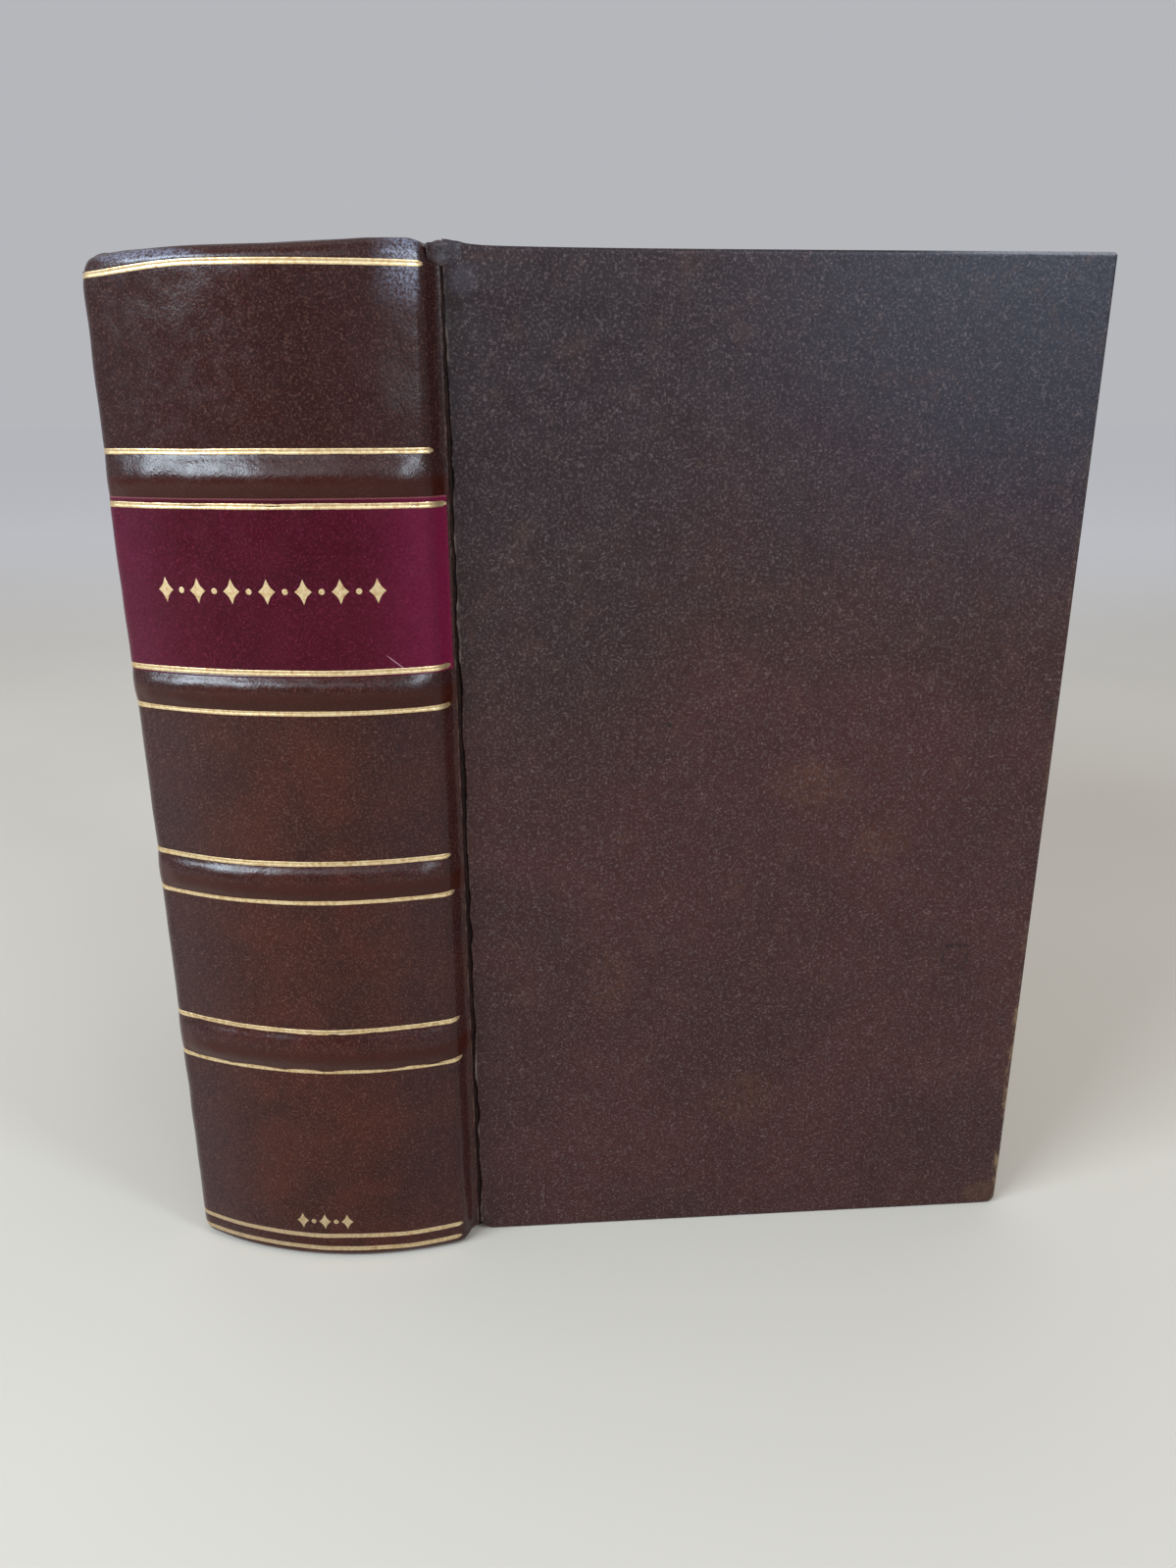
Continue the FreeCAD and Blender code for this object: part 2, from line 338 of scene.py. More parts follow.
def cap_pull(x, z):
    """The left ends of the caps are rounded in."""
    rise = np.clip((z - height + 6 * MM) / (6 * MM), 0, 1)
    drop = np.clip(1 - z / (3.6 * MM), 0, 1)
    pull = 3.2 * MM * (1 - np.sqrt(1 - rise ** 2)) + 2.4 * MM * (1 - np.sqrt(1 - drop ** 2))
    return pull * smooth_step(-x, 20 * MM, 31.5 * MM)


def spine_leather(material):
    """The calf over the spine, closed, with its caps at head and tail."""
    count = len(path_outer)
    x = path_outer[:, 0]
    side = smooth_step(np.abs(x), spine_half - shoulder_radius * 1.3, spine_half)
    limit = leather + (cap_depth - leather) * (1 - side)
    wing = smooth_step(np.abs(x), spine_half, wing_tip_x)
    radius = cap_radius * (1 - wing) + 0.9 * MM * wing
    tall = radius * (cap_stretch * (1 - wing) + wing)
    direction = (path_inner - path_outer) / leather
    cap_wave = waves(SEED + 2, 7, 12 * MM, 50 * MM)

    def ring(depth, z, at_head=None):
        """One line of points along the spine at a depth behind its surface. at_head says which cap it rounds."""
        depth, z = depth + 0 * x, z + 0 * x
        clipped = np.minimum(depth, limit)
        rounded = radius - np.sqrt(np.maximum(radius ** 2 - np.maximum(radius - clipped, 0) ** 2, 0))
        if at_head is not None:
            end, edge = (height, height - rounded * tall / radius) if at_head else (0, rounded)
            z = np.where((depth > limit) & (np.abs(z - end) < radius), edge, z)
        return np.column_stack([path_outer + direction * clipped[:, None], z])

    lip, eased = cap_depth - 0.4 * MM, 0.5 * MM
    rings = [ring(cap_depth, cap_thickness, False), ring(cap_depth, eased, False), ring(lip, 0.0, False)]
    turns = np.radians(np.linspace(0, 90, 11))
    for turn in turns[:-1]:
        rings.append(ring(radius * (1 - math.sin(turn)), radius * (1 - math.cos(turn)), False))
    for share in np.linspace(0, 1, 270):
        z = radius + (height - radius - tall) * share
        points = path_outer - direction * spine_relief(x, z)[:, None]
        rings.append(np.column_stack([points, z]))
    for turn in turns[::-1][1:]:
        rise = 0.2 * MM * cap_wave(x, x * 0) * math.cos(turn)
        rings.append(ring(radius * (1 - math.sin(turn)), height - tall * (1 - math.cos(turn)) + rise, True))
    cap_inside = height - cap_thickness
    rings += [ring(lip, height, True), ring(cap_depth, height - eased, True), ring(cap_depth, cap_inside, True)]
    for depth, z in ((text_depth, cap_inside), (text_depth, text_high.z), (leather, text_high.z),
                     (leather, text_low.z), (text_depth, text_low.z), (text_depth, cap_thickness)):
        rings.append(ring(depth, z))
    verts = np.concatenate(rings)
    pulled = cap_pull(verts[:, 0], verts[:, 2])
    verts[:, 2] += cap_shift(verts[:, 0], verts[:, 2])
    verts[:, 0] += pulled
    faces = grid_faces(len(rings), count, wrap_rows=True)
    ends = [row * count for row in range(len(rings))]
    faces += [ends, [end + count - 1 for end in ends][::-1]]
    piece = make_piece("spine_calf", verts, faces, material, "text_and_spine", "spine_calf")
    face_outwards(piece, merge_distance)
    sharpen(piece, 50)
    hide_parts("spine_leather")


def spine_sheet(name, s, z, lifts, material, slot, node):
    """A thin layer bedded in the spine's leather. lifts gives how far it stands out at each point, s by z."""
    top, bottom = spine_point(s, z, lifts), spine_point(s, z, -0.15 * MM)
    piece = closed_sheet(name, top, bottom, material, "text_and_spine", slot, 60)
    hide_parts(node)


def arc_length_at(x):
    """Length round the spine from its middle to the place where it is x to the right."""
    half = len(path_outer) // 2
    return np.interp(x, path_outer[half:, 0], path_s[half:])


def title_label(material):
    """The thin label, pared to nothing at its edges."""
    end = arc_length_at(label_end)
    s_values = np.linspace(-end, end, 130)
    low, high = label_low.z, label_high.z + 0.6 * MM
    edge = np.array([0, 0.1, 0.25, 0.5, 0.9, 1.5]) * MM
    flat = np.linspace(low + 2.5 * MM, high - 2.5 * MM, 40)
    z_values = np.concatenate([low + edge, flat, high - edge[::-1]])
    s, z = np.meshgrid(s_values, z_values, indexing="ij")
    inset = np.minimum.reduce([z - low, high - z, end - np.abs(s)])
    lifts = 0.05 * MM + 0.17 * MM * smooth_step(inset, 0, 1.1 * MM)
    spine_sheet("title_label_leather", s, z, lifts, material, "label_leather", "title_label")


def gilt_rule(number, material):
    """One gilt rule: two fine lines of gold with a shallow furrow between them, fading at its ends."""
    middle, half = rules[number - 1]
    rng = np.random.default_rng(SEED + number)
    left = arc_length_at(spine_half + 0.2 * MM)
    right = arc_length_at(rule_ends[number - 1] * MM)
    s_values = np.linspace(-left, right, 170)
    across = np.array([-1, -0.86, -0.6, -0.32, -0.14, 0, 0.14, 0.32, 0.6, 0.86, 1])
    form = np.array([0, 0.8, 1, 0.9, 0.35, 0.2, 0.35, 0.9, 1, 0.8, 0])
    stronger = rng.uniform(0.75, 1.0, 2)
    form = form * np.where(across < 0, stronger[0], stronger[1])
    wander = waves(SEED + 30 + number, 6, 2 * MM, 16 * MM)
    drift = waves(SEED + 50 + number, 5, 14 * MM, 60 * MM)
    on_label = middle > label_low.z - MM and middle < label_high.z + MM
    base = label_lift if on_label else 0.0
    s, f = np.meshgrid(s_values, form, indexing="ij")
    _, a = np.meshgrid(s_values, across, indexing="ij")
    fade = smooth_step(right - s, 0, 1.1 * MM) * smooth_step(s + left, 0, 0.8 * MM)
    narrow = 0.45 + 0.55 * fade
    z = middle + a * half * narrow + 0.05 * MM * drift(s, s * 0)
    lifts = base - 0.02 * MM + (0.04 * MM + 0.07 * MM * f) * (0.4 + 0.6 * fade)
    lifts = lifts + 0.014 * MM * wander(s, a * 2 * MM)
    name = f"gilt_rule_{number:02d}_leaf"
    spine_sheet(name, s, z, lifts, material, "gilt", f"gilt_rule_{number:02d}")


def gilt_tool(outline, centre_s, centre_z, base):
    """The points and faces of one small gilt stamp whose outline is a list of (across, up)."""
    across, up = np.array(outline).T
    rings = []
    for share, lift in ((1.0, -0.05 * MM), (0.96, 0.05 * MM), (0.8, 0.075 * MM), (0.45, 0.07 * MM)):
        rings.append(spine_point(centre_s + across * share, centre_z + up * share, base + lift))
    count = len(outline)
    faces = grid_faces(len(rings), count, wrap_columns=True)
    hub = len(rings) * count
    last = hub - count
    faces += [(last + i, last + (i + 1) % count, hub) for i in range(count)]
    faces.append(list(range(count))[::-1])
    rings.append(spine_point(np.array([centre_s]), np.array([centre_z]), base + 0.06 * MM))
    return np.concatenate(rings), faces


def lozenge_outline(width, tall):
    """A lozenge whose four sides are slightly hollow."""
    corners = [(width / 2, 0), (0, tall / 2), (-width / 2, 0), (0, -tall / 2)]
    points = []
    for (ax, ay), (bx, by) in zip(corners, corners[1:] + corners[:1]):
        for t in np.linspace(0, 1, 6, endpoint=False):
            pull = 1 - 0.2 * math.sin(math.pi * t)
            points.append(((ax + (bx - ax) * t) * pull, (ay + (by - ay) * t) * pull))
    return points


def ornament(name, node, count, size, pitch, base, material):
    """A row of gilt lozenges with a dot between each two."""
    middle, _ = heights_of(node)
    turns = np.linspace(0, 2 * math.pi, 16, endpoint=False)
    dot = [(0.6 * MM * math.cos(t), 0.6 * MM * math.sin(t)) for t in turns]
    verts, faces, total = [], [], 0
    for i in range(2 * count - 1):
        s = pitch / 2 * (i - (count - 1))
        outline = dot if i % 2 else lozenge_outline(*size)
        points, quads = gilt_tool(outline, s, middle, base)
        verts.append(points)
        faces += [[total + v for v in quad] for quad in quads]
        total += len(points)
    piece = make_piece(name, np.concatenate(verts), faces, material, "text_and_spine", "gilt")
    face_outwards(piece)
    sharpen(piece, 50)
    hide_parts(node)


# The covers

def front_place(u, w, z):
    """A point of the open front cover: u from the joint, w in from the outer face."""
    along = np.array([math.sin(open_angle), math.cos(open_angle)])
    inward = np.array([-math.cos(open_angle), math.sin(open_angle)])
    x = hinge.x + u * along[0] + w * inward[0]
    y = hinge.y + u * along[1] + w * inward[1]
    return np.stack([x, y, z + 0 * x], -1)


def back_place(u, w, z):
    """A point of the closed back cover."""
    x = -hinge.x + w
    y = hinge.y + u
    return np.stack([x + 0 * y, y + 0 * x, z + 0 * (x + y)], -1)


def panel_outline(corners, columns, rows):
    """The free edge of a cover from the joint at the head, round the fore-edge, to the joint at the tail.

    Gives its points (u, z) and the inward direction at each."""
    head, tail = corners
    turns = [math.radians(turn) for turn in np.linspace(0, 90, 7)[1:-1]]
    path = [(min(u, cover_length - head), height, 0, -1) for u in columns]
    for turn in turns:
        c, s = math.sin(turn), math.cos(turn)
        path.append((cover_length - head + head * c, height - head + head * s, -c, -s))
    path += [(cover_length, min(max(z, tail), height - head), -1, 0) for z in rows[::-1]]
    for turn in turns:
        c, s = math.cos(turn), math.sin(turn)
        path.append((cover_length - tail + tail * c, tail - tail * s, -c, s))
    path += [(min(u, cover_length - tail), 0, 0, 1) for u in columns[::-1]]
    path = np.array(path)
    return path[:, :2], path[:, 2:]


def inset_points(points, inward, corners, inset):
    """The outline moved inwards, kept inside a rectangle once the corners are used up."""
    head, tail = corners
    moved = points + inward * inset
    far = cover_length - inset
    on_fore_edge, on_side = (np.abs(inward) == 1).T
    near_head = points[:, 1] > height / 2
    limit = np.where(near_head, max(head, inset), max(tail, inset))
    u = np.where(on_side, np.minimum(points[:, 0], cover_length - limit), np.minimum(moved[:, 0], far))
    z = np.clip(moved[:, 1], inset, height - inset)
    z = np.where(on_fore_edge, np.clip(points[:, 1], max(tail, inset), height - max(head, inset)), z)
    for corner, near, corner_z in ((head, near_head, height - inset), (tail, ~near_head, inset)):
        if inset > corner:
            in_arc = near & ~on_fore_edge & ~on_side
            u, z = np.where(in_arc, far, u), np.where(in_arc, corner_z, z)
    return np.stack([u, z], -1)


def joint_corners(side, u, z):
    """How far the cover's corners beside the joint stand above or below a square corner."""
    left = np.clip(joint_tail_corner - u, 0, joint_tail_corner)
    rise = joint_tail_corner - np.sqrt(joint_tail_corner ** 2 - left ** 2)
    shift = rise * np.clip(1 - z / (14 * MM), 0, 1)
    near_head = smooth_step(z, height - 13 * MM, height)
    if side == "back":
        return shift - 3.4 * MM * np.exp(-(u / (5 * MM)) ** 2) * near_head
    ear = 0.8 * MM * np.exp(-(u / (4 * MM)) ** 2) + 0.6 * MM * np.exp(-u / (16 * MM))
    return shift + ear * near_head


def cover_leather(side, corners, material):
    """The calf over one board: outer face, rounded edges and turn-ins, with a torn edge at the joint."""
    place = front_place if side == "front" else back_place
    seed = SEED + (40 if side == "front" else 60)
    sag = waves(seed, 16, 18 * MM, 90 * MM)
    tear = waves(seed + 1, 26, 1.6 * MM, 30 * MM)
    lift_wave = waves(seed + 2, 12, 6 * MM, 45 * MM)
    field = 6.0 * MM
    near = np.array([0, 0.25, 0.5, 0.8, 1.2, 1.7, 2.4, 3.4, 5, 7.5]) * MM
    inner = np.arange(11 * MM, cover_length - field, 3.2 * MM)
    columns = np.concatenate([near, inner, [cover_length - field]])
    rows = np.linspace(field, height - field, 330)

    def surface(u, z):
        """Depth of the outer face: a faint sag, and what the leather does beside the joint."""
        edge = np.minimum.reduce([cover_length - u, z, height - z])
        calm = smooth_step(edge, 0, 8 * MM)
        depth = -0.06 * MM * sag(u, z) * calm
        if side == "back":
            return depth + 1.15 * MM * np.clip(1 - u / (2.2 * MM), 0, 1) ** 1.5
        raised = np.clip(0.08 + 0.12 * lift_wave(z, 0 * z), 0, 0.2) * MM
        depth = depth - raised * np.exp(-(u / (0.9 * MM)) ** 1.5)
        hollow = np.exp(-((u - 1.6 * MM) / (2.4 * MM)) ** 2 - ((z - 205.5 * MM) / (4.2 * MM)) ** 2)
        along_fold = (u - 4.2 * MM) * 0.8 + (z - 209.5 * MM) * 0.6
        across_fold = (u - 4.2 * MM) * 0.6 - (z - 209.5 * MM) * 0.8
        fold = np.exp(-(across_fold / (1.5 * MM)) ** 2 - (along_fold / (4.5 * MM)) ** 2)
        return depth + 0.45 * MM * hollow - 0.22 * MM * fold

    def torn(u, z):
        """Moves the points next to the joint to a ragged line."""
        ragged = np.clip(0.32 + 0.30 * tear(z, 0 * z), 0.02, 1.1) * MM
        return u + ragged * (1 - smooth_step(u, 0, 3.5 * MM))

    u, z = np.meshgrid(columns, rows, indexing="ij")
    face = place(torn(u, z), surface(u, z), z + joint_corners(side, u, z))
    outline, inward = panel_outline(corners, columns, rows)
    profile = [(field, 0.0)] + [(inset * MM, 0.0) for inset in (4.2, 2.8, 1.7, 1.1)]
    turns = np.radians(np.linspace(0, 90, 6))
    profile += [(edge_radius * (1 - math.sin(turn)), edge_radius * (1 - math.cos(turn))) for turn in turns]
    wrap = edge_radius * 0.8
    profile += [(wrap * (1 - math.cos(turn)), cover_thickness - wrap * (1 - math.sin(turn))) for turn in turns]
    profile += [(inset * MM, cover_thickness) for inset in (1.2, 2.5, 5.0, 8.5, 11.3)]
    profile += [(turn_in_width, cover_thickness - 0.12 * MM), (turn_in_width, cover_thickness - turn_in * 0.9)]
    rings = []
    for inset, depth in profile:
        flat = inset_points(outline, inward, corners, inset)
        ring_u, ring_z = flat[:, 0], flat[:, 1]
        shown = 1.0 if depth < edge_radius * 0.99 else 0.0
        fall = surface(ring_u, ring_z) * shown
        moved = torn(ring_u, ring_z) if shown else ring_u
        rings.append(place(moved, depth + fall, ring_z + joint_corners(side, ring_u, ring_z)))
    verts = np.concatenate([face.reshape(-1, 3)] + rings)
    faces = grid_faces(len(columns), len(rows))
    faces += [f[::-1] for f in grid_faces(len(rings), len(outline), len(columns) * len(rows))]
    piece = make_piece(f"{side}_cover_calf", verts, faces, material, f"{side}_cover", "board_calf")
    add_sheet_map(piece, place, side)
    face_outwards(piece, merge_distance)
    thicken(piece, turn_in, -1)
    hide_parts(f"{side}_cover_leather")


def add_sheet_map(piece, place, side):
    """Stores the distance from the joint and the height as a UV map, in metres."""
    layer = piece.data.uv_layers.new(name="sheet")
    origin = place(0.0, 0.0, 0.0)
    along = place(1.0, 0.0, 0.0) - origin
    inward = place(0.0, 1.0, 0.0) - origin
    for loop in piece.data.loops:
        point = np.array(piece.data.vertices[loop.vertex_index].co) - origin
        layer.data[loop.index].uv = (float(point @ along) + float(point @ inward), point[2])


def board(side, material):
    """The pasteboard inside the leather, its corners and its joint edge eased."""
    place = front_place if side == "front" else back_place
    inset, joint_inset, slack = 0.85 * MM, 0.25 * MM, 0.02 * MM
    head = 2 * MM if side == "front" else 9.5 * MM
    far = cover_length - inset
    corners = ((joint_inset, inset, joint_tail_corner, 180), (far, inset, 2 * MM, 270),
               (far, height - inset, MM, 0), (joint_inset, height - inset, head, 90))
    outline = []
    for u, z, radius, start in corners:
        centre_u = u + radius if u < cover_length / 2 else u - radius
        centre_z = z + radius if z < height / 2 else z - radius
        for turn in np.radians(np.linspace(start, start + 90, 9)):
            outline.append((centre_u + radius * math.cos(turn), centre_z + radius * math.sin(turn)))
    u, z = np.array(outline).T
    layers = ((np.maximum(u, 2.3 * MM), board_leather + slack), (u, board_leather + 0.75 * MM),
              (u, cover_thickness - turn_in - slack))
    rings = [place(layer_u, depth, z) for layer_u, depth in layers]
    count = len(outline)
    faces = [list(range(count)), list(range(2 * count, 3 * count))[::-1]]
    faces += grid_faces(len(rings), count, wrap_columns=True)
    name, body = f"{side}_board", f"{side}_cover"
    piece = make_piece(name, np.concatenate(rings), faces, material, body, "pasteboard", False)
    face_outwards(piece)
    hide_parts(f"{side}_cover_board")


# The joints

def joint_strip(name, plan, tops, thickness, material, slot):
    """A strip of leather or paper across a joint. plan is its line in plan, tops its two heights at each point."""
    plan, tops = np.array(plan) * MM, np.array(tops) * MM
    steps = lengths_along(plan)
    run = np.linspace(0, steps[-1], 26)
    x, y, low, high = (np.interp(run, steps, line)[:, None] for line in (*plan.T, *tops.T))
    normal = np.column_stack([-np.gradient(y[:, 0]), np.gradient(x[:, 0])])
    normal /= np.linalg.norm(normal, axis=1, keepdims=True)
    z = low + (high - low) * np.linspace(0, 1, 60)
    sheets = []
    for offset in (0.0, thickness):
        sheet_x, sheet_y = x + normal[:, :1] * offset, y + normal[:, 1:] * offset
        sheets.append(np.stack([sheet_x + 0 * z, sheet_y + 0 * z, z], -1))
    piece = closed_sheet(name, *sheets, material, None, slot, 60)
    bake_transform(piece)


def joint_strips(leather_material, paper_material):
    """The leather behind each crack and the paper that folds at each inner joint."""
    front = [(32.3, 8.98), (33.6, 9.0), (34.25, 9.35), (34.9, 9.95), (35.9, 10.12)]
    tops = [(1.4, 213.0)] * len(front)
    joint_strip("front_joint_calf", front, tops, -0.1 * MM, leather_material, "spine_calf")
    back = [(-31.9, 8.95), (-32.7, 8.98), (-33.05, 9.3), (-33.3, 9.9), (-33.4, 10.9)]
    tops = [(1.4, 212.5)] * len(back)
    joint_strip("back_joint_calf", back, tops, 0.1 * MM, leather_material, "spine_calf")
    front = [(30.08, 18.0), (30.08, 14.9), (30.5, 13.95), (31.6, 13.5), (33.0, 13.25), (34.4, 13.3),
             (36.7, 13.62), (39.65, 14.05)]
    tops = [(5, 211), (5, 211), (7, 209), (9.5, 206.5), (11.5, 204.5), (12.3, 203.7), (12.4, 203.6), (12.4, 203.6)]
    joint_strip("front_joint_paper", front, tops, -0.08 * MM, paper_material, "endpaper")
    back = [(-30.05, 17.5), (-30.06, 10.4), (-30.08, 9.9), (-30.11, 9.65), (-30.15, 9.55), (-30.19, 9.65),
            (-30.22, 9.9), (-30.24, 10.4), (-30.25, 14.5)]
    tops = [(5, 211), (6, 210), (8, 208), (10, 206), (11, 205), (12, 204), (12.3, 203.7), (12.4, 203.6),
            (12.4, 203.6)]
    joint_strip("back_joint_paper", back, tops, 0.02 * MM, paper_material, "endpaper")


def joint_head(material):
    """The leather left whole at the head of the front joint, folded over the boards' corner."""
    wing = half_outer[half_outer[:, 0] > 32.2 * MM]
    wing = wing[np.gradient(wing[:, 1]) > 0] + np.array([0.07, -0.1]) * MM
    face = front_place(np.array([1.0, 2.2, 3.6]) * MM, np.array([-0.14, -0.14, 0.04]) * MM, 0.0)[:, :2]
    plan = np.concatenate([wing[::3], face])
    shares = np.linspace(0, 1, len(plan))
    columns = np.linspace(0, 1, 29)
    x, y = np.interp(columns, shares, plan[:, 0]), np.interp(columns, shares, plan[:, 1])
    peak_line = ((32.3, 216.4), (33, 216.6), (33.5, 216.85), (34, 217.0), (35.6, 217.15), (37, 217.05),
                 (38.2, 216.8))
    foot_line = ((32.3, 213.4), (33.6, 213.0), (34.3, 212.6), (35.2, 213.0), (38.2, 213.6))
    peak, foot = (np.interp(x, *(np.array(line) * MM).T) for line in (peak_line, foot_line))
    profile = [(0.15, 0.0), (0.04, 0.05), (-0.03, 0.15), (-0.08, 0.35), (-0.1, 0.55), (-0.1, 0.75), (-0.02, 0.88),
               (0.2, 0.97), (0.6, 1.0), (1.2, 0.99), (1.9, 0.93), (2.3, 0.75), (2.4, 0.4), (2.4, 0.0)]
    wrinkle = waves(SEED + 90, 9, 1.2 * MM, 5 * MM)
    verts = []
    for px, py, top, low in zip(x, y, peak, foot):
        for depth, share in profile:
            z = low + (top - low) * share
            outer = depth < 0.5
            pit = ((px - 34.3 * MM) / (0.7 * MM)) ** 2 + ((z - 215.0 * MM) / (0.6 * MM)) ** 2
            dimple = 0.4 * MM * math.exp(-pit) if outer else 0
            shake = 0.07 * MM * float(wrinkle(px, z)) if outer and share > 0.02 else 0.0
            verts.append((px, py + depth * MM + dimple + shake, z))
    faces = grid_faces(len(columns), len(profile))
    piece = make_piece("front_joint_head", verts, faces, material, None, "board_calf")
    thicken(piece, 0.25 * MM, 1)
    face_outwards(piece)
    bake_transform(piece)


# The text block

def box_shell(counts, place):
    """The closed surface of a box of counts cells, each point put where place(i, j, k) says."""
    index, verts, faces = {}, [], []

    def vertex(cell):
        if cell not in index:
            index[cell] = len(verts)
            verts.append(place(*cell))
        return index[cell]

    for fixed in (2, 1, 0):
        first, second = [axis for axis in range(3) if axis != fixed]
        for a in range(counts[first]):
            for b in range(counts[second]):
                for end in (0, counts[fixed]):
                    face = []
                    for step_a, step_b in ((0, 0), (1, 0), (1, 1), (0, 1)):
                        cell = [end] * 3
                        cell[first], cell[second] = a + step_a, b + step_b
                        face.append(vertex(tuple(cell)))
                    faces.append(face)
    return verts, faces


def text_block(material):
    """The sewn leaves: their edges stand a little uneven at the head, tail and fore-edge."""
    across, along, up = 236, 26, 44
    rng = np.random.default_rng(SEED + 5)
    fore = rng.normal(0, 0.06, across + 1) * MM
    head = rng.normal(0, 0.045, across + 1) * MM
    tail = rng.normal(0, 0.045, across + 1) * MM
    group = np.repeat(rng.normal(0, 0.06, across // 6 + 2), 6)[:across + 1] * MM
    back_radius = crown_radius - text_depth
    back_centre = chord_y + crown_radius - spine_bulge
    fore_radius = (text_half ** 2 + fore_edge_hollow ** 2) / (2 * fore_edge_hollow)
    back_half = text_high.x
    bow = back_half - 0.06 * back_half
    drift = waves(SEED + 6, 8, 30 * MM, 120 * MM)

    def place(i, j, k):
        share = 2 * i / across - 1
        t = (j / along) ** 1.4
        x_body = share * text_half
        x_back = share * back_half
        flare = 1 - smooth_step(t, 0.0, 0.035)
        x = x_body + (x_back - x_body) * flare
        reach = min(abs(x_back), bow)
        y_back = back_centre - math.sqrt(back_radius ** 2 - reach ** 2)
        y_back += 2.6 * MM * smooth_step(abs(x_back), bow, back_half)
        y_fore = text_high.y - fore_edge_hollow + fore_radius - math.sqrt(fore_radius ** 2 - x_body ** 2)
        z_share = k / up
        y_fore += (fore[i] + group[i]) + 0.05 * MM * float(drift(z_share * 0.2, x))
        y = y_back + (y_fore - y_back) * t
        low = text_low.z - (tail[i] + group[i]) * (0.3 + 0.7 * t)
        high = text_high.z + (head[i] + group[i]) * (0.3 + 0.7 * t)
        return (x, y, low + (high - low) * z_share)

    verts, faces = box_shell((across, along, up), place)
    piece = make_piece("text_leaves", verts, faces, material, "text_and_spine", "page_edges", smooth=False)
    face_outwards(piece)
    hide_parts("text_block")


def paper_sheet(name, node, body, place, thickness, wave, material):
    """A thin sheet of paper with faint cockling. place(a, b, depth) maps its shares to points."""
    a, b = np.meshgrid(np.linspace(0, 1, 40), np.linspace(0, 1, 60), indexing="ij")
    top, bottom = place(a, b, thickness + wave(a, b)), place(a, b, 0 * a)
    piece = closed_sheet(name, top, bottom, material, body, "endpaper", 40)
    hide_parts(node)


def flyleaf(side, material):
    """The free endpaper on one side of the leaves."""
    sign = 1 if side == "front" else -1
    node = f"{side}_flyleaf"
    low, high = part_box(node)
    thickness = high.x - low.x
    ripple = waves(SEED + 7 + sign, 9, 0.25, 1.2)

    def place(a, b, depth):
        x = sign * (text_half + depth)
        return np.stack([x, low.y + (high.y - low.y) * a, low.z + (high.z - low.z) * b], -1)

    def wave(a, b):
        return -0.25 * thickness + 0.2 * thickness * ripple(a, b)

    paper_sheet(f"{side}_free_endpaper", node, "text_and_spine", place, thickness, wave, material)


def pastedown(side, material):
    """The endpaper pasted inside one cover, between the turn-ins."""
    base = front_place if side == "front" else back_place
    far = cover_length - turn_in_width
    ripple = waves(SEED + 17 + len(side), 9, 0.25, 1.2)

    def place(a, b, depth):
        return base(far * a, cover_thickness - turn_in + depth, turn_in_width + (height - 2 * turn_in_width) * b)

    def wave(a, b):
        edge = np.minimum.reduce([1 - a, b, 1 - b])
        return turn_in * (-0.12 + 0.05 * ripple(a, b) - 0.25 * (1 - smooth_step(edge, 0, 0.02)))

    name, node = f"{side}_pasted_endpaper", f"{side}_cover_pastedown"
    paper_sheet(name, node, f"{side}_cover", place, turn_in, wave, material)


def headband(where, material):
    """The worked band: turns of thread over a core."""
    low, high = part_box(f"{where}_headband")
    up = 1 if where == "head" else -1
    foot = low.z if up > 0 else high.z
    tall = (high.z - low.z) * 0.93
    radius = crown_radius - text_depth
    centre_y = chord_y + crown_radius - spine_bulge
    lean = math.asin(high.x / radius)
    threads, steps_each = 62, 6
    steps = threads * steps_each
    rings = []
    for step in range(steps + 1):
        angle = -lean + 2 * lean * step / steps
        swell = 1 + 0.07 * math.cos(2 * math.pi * step / steps_each)
        ring = []
        for turn in np.radians(np.linspace(0, 180, 10)):
            inwards = headband_depth / 2 * (1 - math.cos(turn) * swell)
            rise = 0.0 if turn in (0.0, math.pi) else tall * math.sin(turn) * swell * 0.95
            r = radius - inwards
            ring.append((r * math.sin(angle), centre_y - r * math.cos(angle), foot + up * rise))
        rings.append(ring)
    count = len(rings[0])
    verts = [p for ring in rings for p in ring]
    faces = grid_faces(len(rings), count)
    firsts = [row * count for row in range(len(rings))]
    faces += [(a, b, b + count - 1, a + count - 1) for a, b in zip(firsts, firsts[1:])]
    faces += [list(range(count)), [firsts[-1] + c for c in range(count)][::-1]]
    piece = make_piece(f"{where}_worked_band", verts, faces, material, "text_and_spine", "headband_silk")
    face_outwards(piece)
    sharpen(piece, 50)
    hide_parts(f"{where}_headband")


# Materials

